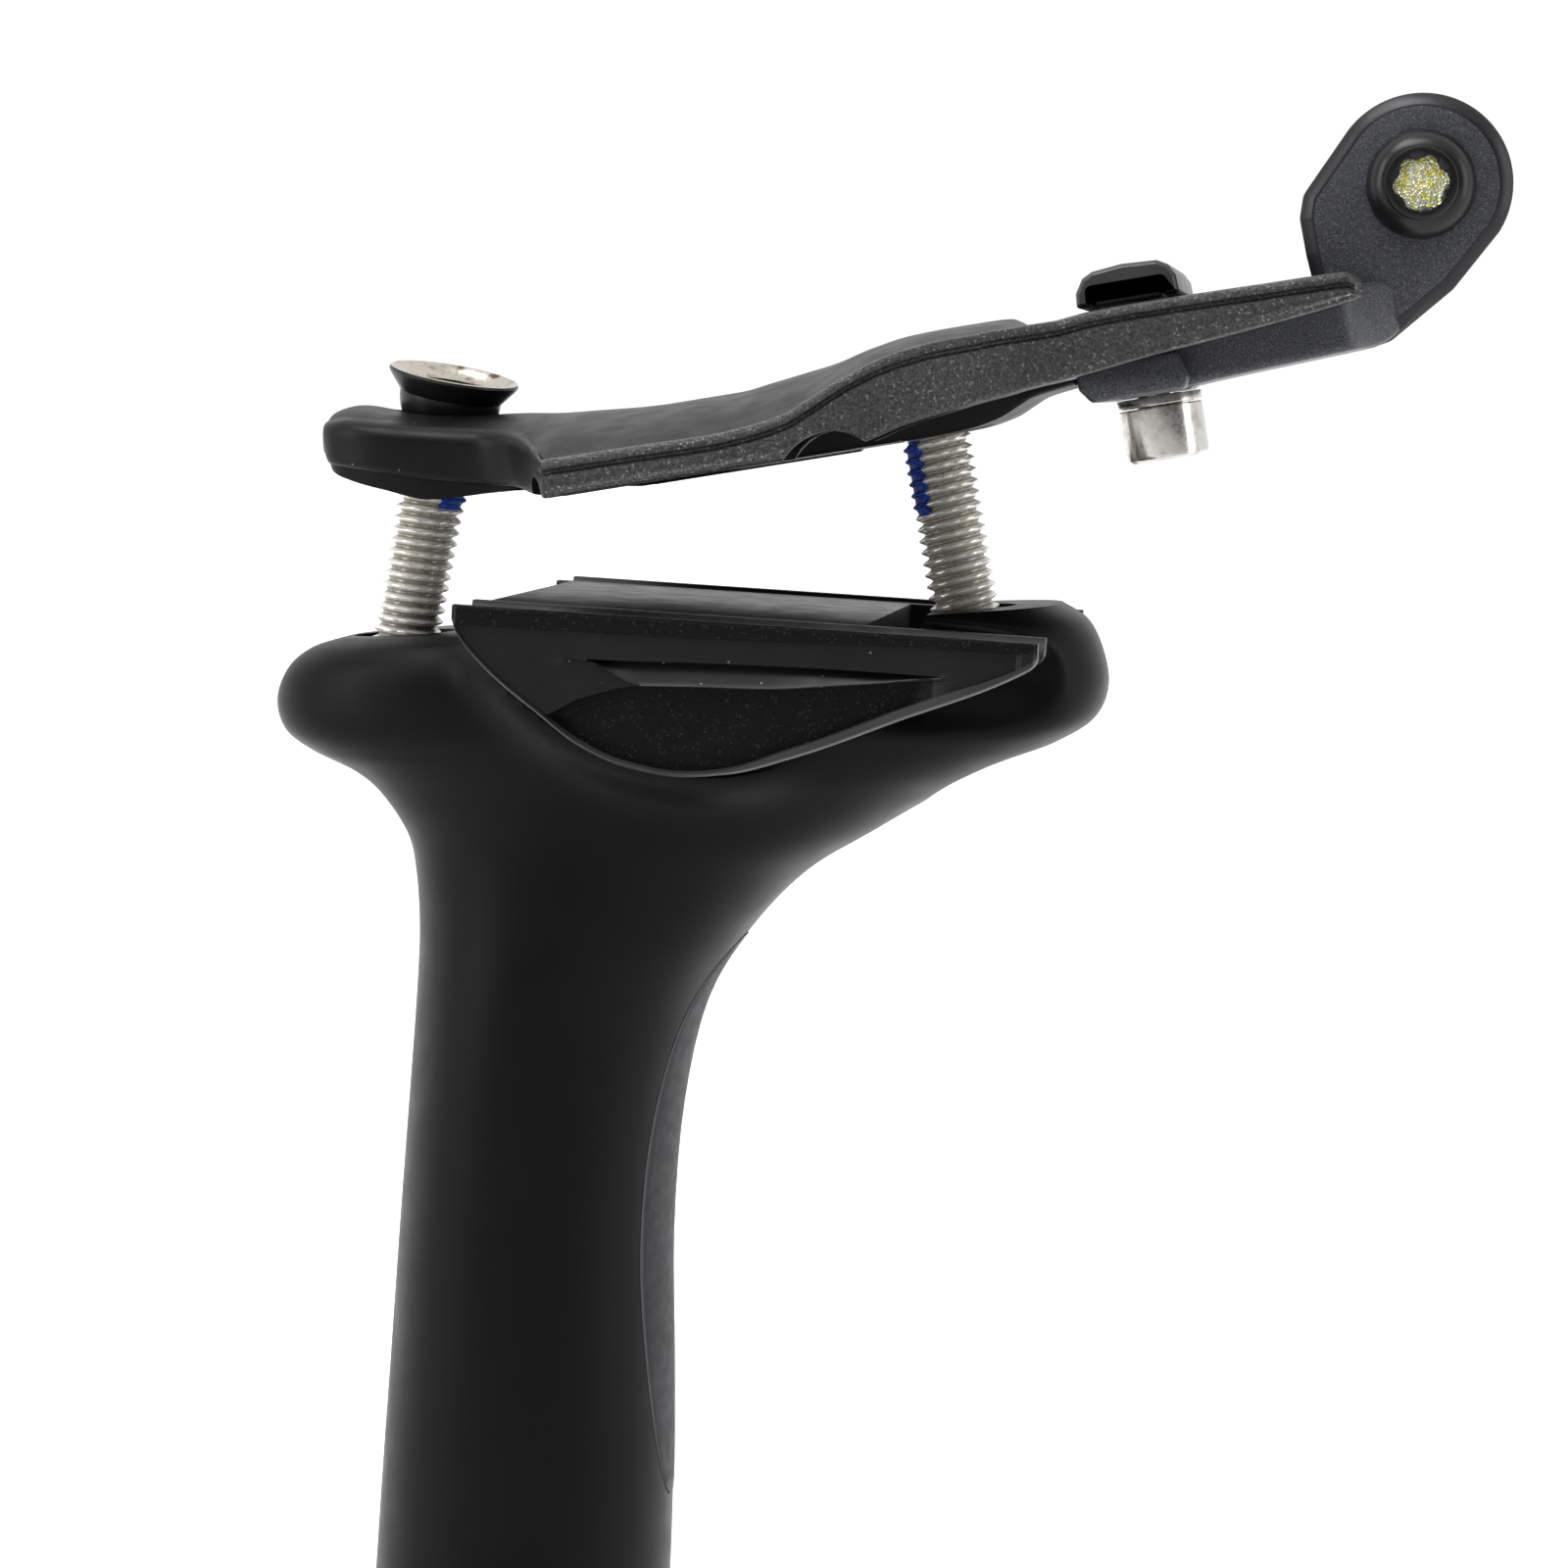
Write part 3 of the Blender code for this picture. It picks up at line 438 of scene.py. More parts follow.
def lacquered_carbon():
    """Satin clear coat over black carbon: a cloudy sheen, fine orange peel and specks of dust."""
    look = Look("carbon_lacquer", specular=0.12)
    dust = look.spread(look.chance(1.9), 0.985, 0.992)
    near = look.spread(look.cells(1.9), 0.05, 0.02)
    speck = look.product(dust, near)
    base = look.mix(look.patches(9, 4), (0.0014, 0.0014, 0.0013), (0.0022, 0.0022, 0.0020))
    look.colour(look.mix(speck, base, (0.05, 0.05, 0.05)))
    look.rough(look.patches(4, 5, 0.25, 0.75, 0.36, 0.44))
    look.bump(look.noise(0.9, detail=3), 0.012, 0.30)
    return look.bump(look.noise(0.12, detail=1), 0.002, 0.35)


def grained(
    name, colour, light, grain, depth, rough, glint_size, metallic=0.3, specular=0.5, amount=0.95
):
    """Blasted and anodised alloy: a sanded, pebbly grain with painted shade in its hollows and
    painted highlight on its tops, and painted glints on a few facets.
    """
    look = Look(name, metallic=metallic, specular=specular)
    pebbles = look.noise(grain, detail=2.5, roughness=0.62)
    # painted glints: a few cells of the grain take the colour given as light
    facet = look.spread(look.chance(glint_size), amount, amount + 0.02)
    painted_hollow_shade = tuple(c * 0.45 for c in colour)
    base = look.mix(look.patches(14, 3), colour, tuple(c * 1.25 for c in colour))
    # painted shade in the pebbles' hollows and painted highlight on their tops, from the noise that
    # also gives the bump
    base = look.mix(look.spread(pebbles, 0.36, 0.52), painted_hollow_shade, base)
    base = look.mix(look.spread(pebbles, 0.55, 0.70), base, tuple(c * 2.4 for c in colour))
    look.colour(look.mix(facet, base, light))
    look.rough(look.spread(pebbles, 0.3, 0.7, rough + 0.08, rough - 0.06))
    return look.bump(pebbles, depth, 0.85)


def satin(name, colour, rough, specular=0.5, metallic=0.0, dust=0.990):
    """Smooth black anodising: a soft sheen, faint mottling and a few pale specks."""
    look = Look(name, metallic=metallic, specular=specular)
    speck = look.spread(look.chance(0.55), dust, dust + 0.004)
    near = look.spread(look.cells(0.55), 0.22, 0.12)
    base = look.mix(look.patches(7, 4), colour, tuple(c * 1.5 for c in colour))
    look.colour(look.mix(look.product(speck, near), base, (0.16, 0.16, 0.17)))
    look.rough(look.patches(3, 4, 0.3, 0.7, rough - 0.04, rough + 0.05))
    return look.bump(look.noise(0.25, detail=2), 0.006, 0.5)


def bare_steel(name, colour, root_shade_colour, rough):
    """Stainless thread: bright worn crests over painted shade in the roots, with fine turning
    marks.
    """
    look = Look(name, metallic=0.5)
    crest = look.attribute("crest")
    stain = look.patches(1.6, 4, 0.45, 0.72)
    # painted shade in the thread roots, through the crest mask
    painted_root_shade = look.mix(look.spread(crest, 0.15, 0.75), root_shade_colour, colour)
    look.colour(look.mix(look.product(stain, 0.35), painted_root_shade, tuple(c * 0.55 for c in colour)))
    look.rough(look.patches(0.5, 3, 0.3, 0.7, rough - 0.06, rough + 0.12))
    return look.bump(look.noise(0.16, detail=2, stretch=(6, 6, 0.6)), 0.004, 0.5)


def polished(name, colour, rough, stain_colour, stain_amount):
    """Machined steel with turning marks and light stains."""
    look = Look(name, metallic=1.0)
    stain = look.patches(1.3, 5, 0.5, 0.7, 0.0, stain_amount)
    base = look.mix(look.noise(4), colour, tuple(c * 0.85 for c in colour))
    look.colour(look.mix(stain, base, stain_colour))
    look.rough(look.patches(0.4, 3, 0.3, 0.7, rough - 0.04, rough + 0.08))
    return look.bump(look.noise(0.2, detail=2, stretch=(5, 5, 0.5)), 0.003, 0.5)


def nylon(name):
    """Blue thread-locking nylon: matte, granular and rubbed thin in spots."""
    look = Look(name, specular=0.35)
    blotch = look.patches(0.5, 4, 0.35, 0.65)
    base = look.mix(blotch, (0.006, 0.035, 0.22), (0.02, 0.10, 0.52))
    rubbed = look.patches(0.25, 2, 0.66, 0.74)
    look.colour(look.mix(rubbed, base, (0.10, 0.22, 0.55)))
    look.rough(0.62)
    return look.bump(look.noise(0.15, detail=3), 0.03, 0.8)


def panel_look():
    """Matte lilac-grey film with a fine leathery grain and a painted highlight along its edge."""
    look = Look("panel_film", specular=0.22)
    base = look.mix(look.patches(6, 4), (0.016, 0.015, 0.018), (0.022, 0.020, 0.025))
    # painted highlight along the panel's edge
    edge = look.spread(look.attribute("edge"), 0.2, 0.9)
    look.colour(look.mix(edge, base, (0.07, 0.068, 0.078)))
    look.rough(look.patches(1.2, 3, 0.3, 0.7, 0.5, 0.6))
    return look.bump(look.noise(0.22, detail=2), 0.010, 0.6)


def glitter():
    """Silvery and yellow thread sealant seen at the bottom of the lug screw's socket, with painted
    glints.
    """
    look = Look("sealant", metallic=0.55)
    yellow = look.patches(0.7, 3, 0.42, 0.6)
    base = look.mix(yellow, (0.42, 0.43, 0.38), (0.46, 0.42, 0.05))
    # painted glints: a few cells take a pale colour
    painted_glint = look.spread(look.chance(0.22), 0.55, 0.9)
    look.colour(look.mix(painted_glint, base, (0.62, 0.62, 0.40)))
    look.rough(0.3)
    return look.bump(look.cells(0.22), 0.12, 1.0)


CARBON = lacquered_carbon().material
CLAMP_GRAIN = grained(
    "clamp_grain", (0.038, 0.038, 0.039), (0.15, 0.15, 0.15), 0.24, 0.085, 0.42, 0.16
).material
CLAMP_SATIN = satin(
    "clamp_satin", (0.0030, 0.0031, 0.0033), 0.42, specular=0.17, metallic=0.03, dust=0.985
).material
# painted shade: a darker, rougher satin for the clamp's underside, rear face and cuts
CLAMP_PAINTED_SHADE = satin("clamp_painted_shade", (0.002, 0.002, 0.002), 0.5, specular=0.15).material
CRADLE_SATIN = satin(
    "cradle_satin", (0.0040, 0.0040, 0.0043), 0.42, metallic=0.05, specular=0.28
).material
# painted highlight: a lighter satin along the lower rim of each wing's outer wall
CRADLE_PAINTED_HIGHLIGHT = satin("cradle_painted_highlight", (0.030, 0.030, 0.031), 0.36, metallic=0.3).material
CRADLE_GRAIN = grained(
    "cradle_grain", (0.0024, 0.0022, 0.0026), (0.022, 0.021, 0.025), 0.2, 0.045, 0.46, 0.15,
    specular=0.2,
).material
BRACKET_GRAIN = grained(
    "bracket_grain", (0.050, 0.052, 0.060), (0.11, 0.115, 0.13), 0.14, 0.025, 0.45, 0.12,
    amount=0.965,
).material
# painted shade: a darker satin on the lug's rounded edges
BRACKET_PAINTED_SHADE = satin("bracket_painted_shade", (0.009, 0.009, 0.011), 0.36, metallic=0.3).material
CAP_BLACK = satin("cap_black", (0.035, 0.035, 0.037), 0.36, metallic=0.3).material
SCREW_BLACK = satin("screw_black", (0.010, 0.010, 0.011), 0.30, metallic=0.4).material
BOLT_STEEL = bare_steel("bolt_steel", (0.95, 0.93, 0.87), (0.40, 0.37, 0.31), 0.30).material
SCREW_STEEL = polished("screw_steel", (0.66, 0.64, 0.60), 0.20, (0.20, 0.13, 0.10), 0.35).material
NUT_DISH = polished("nut_dish", (0.60, 0.55, 0.48), 0.24, (0.10, 0.05, 0.03), 0.9).material
# painted shade: a near-black copy of the nut's steel for its sides and underside
NUT_PAINTED_SHADE = satin("nut_painted_shade", (0.012, 0.011, 0.011), 0.34, metallic=0.6).material
ALLOY = polished("seat_alloy", (0.34, 0.34, 0.35), 0.34, (0.12, 0.11, 0.10), 0.4).material
BAR_DARK = satin("nut_bar_dark", (0.10, 0.10, 0.105), 0.42, metallic=0.4).material
BLUE = nylon("blue_nylon").material
PANEL = panel_look().material
SEALANT = glitter().material


# ---- post
# From the head down: front edge (x, z), rear edge (x, z), half width, squareness (2 is an ellipse)
POST_STATIONS = (
    (-20.2, -6.6, 43.0, 0.5, 12.4, 2.9),
    (-23.0, -7.7, 45.4, -0.9, 14.0, 2.8),
    (-25.0, -9.6, 46.9, -3.6, 15.2, 2.7),
    (-25.9, -12.4, 47.5, -6.6, 15.6, 2.6),
    (-25.0, -15.0, 46.5, -9.3, 15.6, 2.6),
    (-22.5, -16.7, 43.6, -11.4, 15.4, 2.5),
    (-18.9, -18.1, 38.7, -13.9, 15.1, 2.5),
    (-16.3, -20.0, 33.9, -16.5, 14.8, 2.4),
    (-13.6, -23.4, 27.9, -20.5, 14.4, 2.3),
    (-12.6, -27.0, 22.2, -24.5, 14.1, 2.2),
    (-12.1, -32.0, 17.4, -30.1, 13.9, 2.1),
    (-12.1, -38.0, 13.8, -36.8, 13.8, 2.0),
    (-12.3, -47.0, 12.1, -46.4, 13.6, 2.0),
    (-12.6, -58.0, 11.8, -58.0, 13.4, 2.0),
    (-12.9, -71.0, 12.6, -71.0, 13.3, 2.0),
    (-13.2, -84.0, 13.2, -84.0, 13.3, 2.0),
    (-13.6, -110.0, 13.6, -110.0, 13.6, 2.0),
)
POST_FOOT = -349.99
FOOT_EDGE, FOOT_TUCK = 0.5, 0.4
POST_AROUND = 176
POST_BETWEEN = 9
BORE_RADIUS, BORE_TOP = 11.2, -62.0
TROUGH_RADIUS, PAST_THE_SIDE = 20.0, 45
WING_ROOM_RADIUS, WING_ROOM_START = 22.2, 16.3
SEAT_POCKET_RADIUS, SEAT_POCKET_TOP = 6.3, 1.3
HEAD_HOLE_RADIUS = 4.5
CUT_DEPTH = 15
PANEL_TOP, PANEL_BOTTOM = -31.5, -81.5
PANEL_HALF_ANGLE = math.radians(29.5)
PANEL_LIFT, PANEL_SINK, PANEL_GAP = 0.1, 0.5, 0.12
SHAFT_RADIUS = 13.6


def bent(rows, steps):
    """Catmull-Rom rows between each two rows of a table."""
    table = np.array(rows, float)
    padded = np.vstack([table[:1], table, table[-1:]])
    made = []
    for i in range(len(table) - 1):
        p, q, r, s = padded[i : i + 4]
        for k in range(steps):
            t = k / steps
            bend, swing = 2 * p - 5 * q + 4 * r - s, 3 * q - p - 3 * r + s
            made.append(0.5 * (2 * q + (r - p) * t + bend * t * t + swing * t**3))
    made.append(table[-1])
    return np.array(made)


def squared(angle, power):
    """A point of a squared ellipse of unit half widths; power 2 gives a circle."""
    c, s = np.cos(angle), np.sin(angle)
    return np.sign(c) * np.abs(c) ** (2 / power), np.sign(s) * np.abs(s) ** (2 / power)


WING_POCKET_TOP = curve(((24, 0.4), (34, -0.6), (39, -1.0), (43.6, -2.4), (48, -6.0)))
WING_POCKET_DEPTH = 2.3
LIP_HEIGHT, LIP_RADIUS, LIP_SPREAD = 2.6, 22.4, 2.3


def flank(points):
    """Moves the head's sides: a pocket round the wing's tip and a lip along the wing's arc."""
    x, y, z = points.T
    radius = np.hypot(x - TILT_X, z - TILT_Z)
    turn = np.degrees(np.arctan2(z - TILT_Z, x - TILT_X))
    side = ease(8.0, 12.5, np.abs(y))
    under = ease(0.2, 1.8, WING_POCKET_TOP(x)[:, 0] - z)
    pocket = WING_POCKET_DEPTH * under * ease(26, 33, x) * (1 - ease(43.6, 46.6, x))
    pocket = pocket * ease(-11.5, -5.5, z)
    lip = LIP_HEIGHT * np.exp(-(((radius - LIP_RADIUS) / LIP_SPREAD) ** 2))
    lip = lip * ease(-158, -140, turn) * (1 - ease(-80, -60, turn))
    flanked = points.copy()
    flanked[:, 1] = y + np.sign(y) * side * (lip - pocket)
    return flanked


def post_rings():
    """The post's outside, from the head's top to the edge of its foot."""
    rows = bent(POST_STATIONS, POST_BETWEEN)
    foot = rows[-1].copy()
    foot[1] = foot[3] = POST_FOOT
    edge = foot.copy()
    edge[1] = edge[3] = POST_FOOT + FOOT_EDGE
    foot[0], foot[2], foot[4] = foot[0] + FOOT_TUCK, foot[2] - FOOT_TUCK, foot[4] - FOOT_TUCK
    angle = np.array(around(POST_AROUND))
    rings = []
    for front_x, front_z, rear_x, rear_z, half_width, power in np.vstack([rows, edge, foot]):
        along, across = squared(angle, power)
        x = (front_x + rear_x) / 2 + (rear_x - front_x) / 2 * along
        z = (front_z + rear_z) / 2 + (rear_z - front_z) / 2 * along
        rings.append(flank(np.stack([x, half_width * across, z], axis=1)))
    return rings


def make_post():
    shell = build("post_body_detail", post_rings(), RAIL_FRAME)
    bore = (0, 0, POST_FOOT - 5), (0, 0, BORE_TOP)
    trough = (TILT_X, -PAST_THE_SIDE, TILT_Z), (TILT_X, PAST_THE_SIDE, TILT_Z)
    cuts = [
        rod("bore", BORE_RADIUS, *bore, RAIL_FRAME, steps=96),
        rod("trough", TROUGH_RADIUS, *trough, RAIL_FRAME, steps=180),
        panel("recess", PANEL_GAP),
    ]
    for side in (-1, 1):
        start, end = ((TILT_X, side * y, TILT_Z) for y in (WING_ROOM_START, PAST_THE_SIDE))
        cuts.append(rod("wing_room", WING_ROOM_RADIUS, start, end, RAIL_FRAME, steps=180))
    for bolt_frame in (FRONT_BOLT_FRAME, REAR_BOLT_FRAME):
        pocket = (0, 0, -CUT_DEPTH), (0, 0, SEAT_POCKET_TOP)
        cuts.append(rod("pocket", SEAT_POCKET_RADIUS, *pocket, bolt_frame))
        cuts.append(rod("hole", HEAD_HOLE_RADIUS, (0, 0, 0), (0, 0, CUT_DEPTH), bolt_frame))
    piece("post_body", carve(shell, [CARBON], cuts=cuts), [CARBON])


SHAFT_ROWS = bent(POST_STATIONS, 4)


def shaft_row(z):
    """The shaft's section at a height."""
    middle = (SHAFT_ROWS[:, 1] + SHAFT_ROWS[:, 3]) / 2
    return [np.interp(-z, -middle, column) for column in SHAFT_ROWS.T]


def panel(name, grow):
    """The panel's skin, or its recess with grow: a lens that follows the back of the shaft."""
    down, across_steps = 72, 30
    rings, rim = [], []
    for i in range(down + 1):
        t = i / down
        z = PANEL_TOP + grow + (PANEL_BOTTOM - PANEL_TOP - 2 * grow) * t
        spread = math.sqrt(1 - (0.99 * (2 * t - 1)) ** 2)
        front_x, front_z, rear_x, rear_z, half_width, power = shaft_row(z)
        lean = (rear_z - front_z) / (rear_x - front_x)
        middle = (front_x + rear_x) / 2
        ring = []
        for outer in (True, False):
            for j in range(across_steps + 1):
                k = j if outer else across_steps - j
                share = 2 * k / across_steps - 1
                angle = share * (PANEL_HALF_ANGLE * spread + grow / SHAFT_RADIUS)
                lift = PANEL_LIFT * (1 - ease(0.9, 1.0, abs(share))) + grow * 5
                depth = lift if outer else -PANEL_SINK - grow
                along, across = squared(np.array([angle]), power)
                x = middle + ((rear_x - front_x) / 2 + depth) * along[0]
                ring.append((x, (half_width + depth) * across[0], z + (x - middle) * lean))
                # rim: a mask of the lens's border, for the painted highlight along the panel's edge
                rim.append(max(ease(0.90, 0.99, abs(share)), ease(0.46, 0.495, abs(t - 0.5))))
        rings.append(ring)
    made = build(name, rings, RAIL_FRAME)
    if not grow:
        store = made.attributes.new("edge", "FLOAT", "POINT")
        store.data.foreach_set("value", np.array(rim[: len(made.vertices)], np.float32))
    return made


make_post()
piece("rear_panel", panel("rear_panel_detail", 0), [PANEL])


# ---- cradle
HUB_RADIUS, HUB_HALF_WIDTH, HUB_REAR, LIP = 19.7, 17.0, 28.0, -1.5
WING_INNER, WING_OUTER = 16.7, 26.2
WING_FRONT, WING_REAR = -5.1, 43.2
WING_BOTTOM = curve((
    (-5.1, -2.9), (-4.6, -3.9), (-2.8, -6.0), (2.7, -10.2), (6.0, -12.4), (9.6, -13.8),
    (14.0, -14.4), (18.4, -13.9), (24.0, -12.1), (32.1, -8.6), (42.2, -4.0), (42.9, -3.5),
    (43.2, -3.0),
))
BAND_LOW = curve(((-5.1, -3.05), (6, -3.0), (21, -2.8), (32, -2.45), (43.2, -2.4)))
WEDGE_TOP = curve((
    (-5.1, -5.2), (6.1, -5.25), (17.1, -4.9), (28.4, -4.7), (35.8, -4.7), (43.2, -4.7),
))
RIDGE = curve((
    (-5.1, -5.3), (6.1, -5.35), (10.8, -7.05), (15.7, -6.8), (21.0, -6.6), (28.4, -5.75),
    (35.8, -4.9), (43.2, -4.8),
))
RECESS_TOP = curve((
    (-5.1, -10.3), (2.8, -10.15), (5.9, -8.6), (10.8, -7.2), (15.7, -6.95), (21.0, -6.75),
    (28.4, -5.9), (35.8, -5.05), (43.2, -4.95),
))
RIM_WIDTH = curve(((-5, 0.4), (16, 0.4), (24, 0.85), (34, 0.95), (43, 0.6)))
FACE_DEPTH, RECESS_DEPTH, WEDGE_DEPTH, FACET_DEPTH, WEDGE_FOOT = 0.32, 1.35, 1.15, 0.45, 0.06
# Where along x a part of the wing's face begins, is full, begins to end and has ended
RECESS_RUN = (2.9, 3.3, 33.0, 36.5)
WEDGE_RUN = (6.1, 7.4, 30.5, 36.5)
FACET_RUN = (2.9, 9.5, 10.7, 10.9)
LINE_BELOW_LIP, LINE_STEP, LINE_GAP = 0.4, 0.03, 0.02
COLUMN_FOOT, COLUMN_TOP, BAND_EDGE = 0.2, 0.25, 0.05
INNER_EDGE = 0.25
RAIL_RADIUS, RAIL_SIDE = 3.65, 21.5
# The third look is painted highlight along the lower rim of each wing.
CRADLE_LOOKS = [CRADLE_SATIN, CRADLE_GRAIN, CRADLE_PAINTED_HIGHLIGHT]
PLAIN, SANDED, PAINTED_RIM_HIGHLIGHT = 0, 1, 2  # places in CRADLE_LOOKS


def within(run, x):
    begins, full, ends, ended = run
    return float(ease(begins, full, x) * (1 - ease(ends, ended, x)))


def wing_column(x):
    """The wing's outer face at one x, from its rim up: height, depth under the rim and look."""
    low, rim = WING_BOTTOM(x)[0, 0], RIM_WIDTH(x)[0, 0]
    lines = [low + rim, *(line(x)[0, 0] for line in (RECESS_TOP, RIDGE, WEDGE_TOP, BAND_LOW))]
    for k, z in enumerate(lines):
        lines[k] = min(z, LIP - LINE_BELOW_LIP - LINE_STEP * (len(lines) - 1 - k))
    for k in range(1, len(lines)):
        lines[k] = max(lines[k], lines[k - 1] + LINE_GAP)
    face = FACE_DEPTH * float(ease(0.15, 0.5, x - WING_FRONT) * (1 - ease(41.5, 42.0, x)))
    dug, opened = within(RECESS_RUN, x), within(WEDGE_RUN, x)
    recess = face + (RECESS_DEPTH - face) * dug
    between = face + FACET_DEPTH * within(FACET_RUN, x)
    foot, crest = face + WEDGE_FOOT * opened, face + (WEDGE_DEPTH - face) * opened
    # each band's depth at its lower and upper line, its steps and its look
    bands = (
        # the lowest band, along the wing's lower rim, takes the painted highlight
        (0.0, 0.0, 3, PAINTED_RIM_HIGHLIGHT),
        (recess, recess, 9, SANDED if dug > 0.5 else PLAIN),
        (between, between, 6, PLAIN),
        (foot, crest, 6, PLAIN),
        (face, face, 5, PLAIN),
        (0.0, 0.0, 5, SANDED),
    )
    stops = [low + COLUMN_FOOT, *lines, LIP - COLUMN_TOP]
    made = []
    for k, (deep_low, deep_high, steps, look) in enumerate(bands):
        start, end = stops[k], stops[k + 1]
        edge = min(BAND_EDGE, (end - start) * 0.2)
        start, end = start + edge, end - edge
        for i in range(steps + 1):
            t = i / steps
            made.append((start + (end - start) * t, deep_low + (deep_high - deep_low) * t, look))
    return low, made


def wing_mesh(name, side):
    """One wing, as rings along x; its front tip, facet and rear tip have closer rings."""
    xs = np.concatenate([
        np.linspace(WING_FRONT, WING_FRONT + 0.8, 9)[:-1],
        np.linspace(WING_FRONT + 0.8, 2.6, 30)[:-1],
        np.linspace(2.6, 11.2, 60)[:-1],
        np.linspace(11.2, WING_REAR - 1.9, 90)[:-1],
        np.linspace(WING_REAR - 1.9, WING_REAR, 20),
    ])
    rings, regions = [], []
    for x in xs:
        low, column = wing_column(x)
        tuck = 0.35 * float(1 - ease(0, 0.5, x - WING_FRONT))
        tuck += 0.3 * float(ease(-0.4, 0, x - WING_REAR))
        wall = [(WING_OUTER - 0.6 - tuck, low), (WING_OUTER - 0.22 - tuck, low + 0.07)]
        wall += [(WING_OUTER - depth - tuck, z) for z, depth, look in column]
        wall += [(WING_OUTER - 0.08 - tuck, LIP - 0.08), (WING_OUTER - 0.3 - tuck, LIP)]
        inner = [
            (WING_INNER + INNER_EDGE, LIP),
            (WING_INNER, LIP - INNER_EDGE),
            (WING_INNER, low + INNER_EDGE),
            (WING_INNER + INNER_EDGE, low),
        ]
        rings.append([(x, side * y, z) for y, z in wall + inner])
        looks = [look for z, depth, look in column]
        # the wall's foot takes the painted highlight
        regions.append([PAINTED_RIM_HIGHLIGHT, PAINTED_RIM_HIGHLIGHT, *looks, SANDED, SANDED, *[PLAIN] * len(inner)])
    return build(name, rings, RAIL_FRAME, looks=lambda i, j: regions[i][j])


def make_cradle():
    drop = TILT_Z - LIP
    front = math.degrees(math.atan2(-drop, -math.sqrt(HUB_RADIUS**2 - drop**2)))
    rear = -math.degrees(math.acos((HUB_REAR - TILT_X) / HUB_RADIUS))
    turns = np.radians(np.linspace(front, rear, 120))
    hub = [(TILT_X + HUB_RADIUS * math.cos(a), TILT_Z + HUB_RADIUS * math.sin(a)) for a in turns]
    hub.append((HUB_REAR, LIP))
    levels = edges(HUB_HALF_WIDTH, (0, 0.3), (0.12, 0.1), (0.3, 0))
    body = slab("lower_cradle_detail", hub, levels, RAIL_FRAME)
    unions, cuts = [], []
    for side in (-1, 1):
        y = side * RAIL_SIDE
        unions.append(wing_mesh("wing", side))
        cuts.append(rod("rail", RAIL_RADIUS, (-40, y, 0), (80, y, 0), RAIL_FRAME, steps=96))
    piece("lower_cradle", carve(body, CRADLE_LOOKS, unions, cuts), CRADLE_LOOKS)


make_cradle()


# ---- upper clamp
# u, half width, crown, rim, lower edge, wing's inner side, web, keel half width, keel bottom
WIDE = 26.2
CLAMP_STATIONS = (
    (-52.7, 5.5, 3.3, 2.7, 1.0, 4.6, 0.6, 3.0, 0.6),
    (-51.8, 8.0, 4.5, 3.6, -0.1, 7.0, -0.8, 5.0, -0.8),
    (-50.3, 9.3, 4.7, 3.6, -0.6, 8.2, -1.7, 6.0, -1.7),
    (-47.0, 10.5, 3.8, 2.9, -1.6, 9.4, -3.1, 7.0, -3.1),
    (-42.7, 11.0, 2.9, 1.9, -3.0, 10.0, -4.6, 8.0, -4.6),
    (-38.0, 11.5, 2.0, 0.9, -4.1, 10.2, -4.8, 8.5, -4.8),
    (-35.0, 13.2, 1.6, 0.2, -4.6, 11.2, -4.8, 9.0, -5.1),
    (-32.5, 17.8, 1.2, -1.0, -5.5, 13.6, -4.8, 9.2, -5.5),
    (-30.6, 23.2, 1.0, -2.2, -6.0, 16.2, -4.4, 9.3, -5.7),
    (-29.4, WIDE, 0.9, -3.0, -6.2, 17.6, -4.2, 9.4, -5.8),
    (-22.0, WIDE, 0.4, -3.1, -6.2, 17.6, -4.0, 9.5, -6.0),
    (-15.8, WIDE, 0.4, -3.2, -6.2, 17.6, -3.9, 9.5, -6.1),
    (-12.4, WIDE, 0.8, -3.0, -6.2, 17.6, -3.8, 9.5, -6.1),
    (-9.2, WIDE, 1.2, -2.5, -6.2, 17.6, -3.6, 9.5, -6.1),
    (-6.9, WIDE, 1.5, -1.6, -6.1, 17.6, -3.2, 9.5, -6.1),
    (-3.4, 25.8, 2.3, -0.1, -5.8, 17.2, -2.8, 9.5, -6.1),
    (0.0, 24.6, 2.8, 0.9, -5.0, 16.4, -2.6, 9.5, -6.1),
    (3.6, 22.8, 2.9, 1.4, -4.4, 15.2, -2.5, 9.5, -6.0),
    (6.5, 21.2, 2.9, 1.5, -4.0, 14.0, -2.5, 9.3, -5.5),
    (8.4, 20.2, 2.8, 1.6, -3.8, 13.2, -2.5, 9.2, -4.7),
    (9.6, 19.6, 1.6, 1.6, -3.6, 12.6, -2.5, 9.1, -4.2),
    (13.2, 18.2, 1.5, 1.6, -3.3, 11.2, -2.5, 9.0, -3.7),
)
# u, outer side, rim, lower edge, inner side
BEAM_STATIONS = (
    (13.2, 18.2, 1.6, -3.3, 11.2),
    (16.0, 17.7, 1.9, -3.0, 10.4),
    (20.0, 17.2, 2.0, -2.5, 10.2),
    (30.0, 16.2, 1.9, -1.5, 10.2),
    (36.6, 15.7, 1.8, -0.7, 10.4),
    (37.4, 15.5, 1.6, -0.55, 10.6),
    (38.0, 14.8, 1.1, -0.3, 11.2),
)
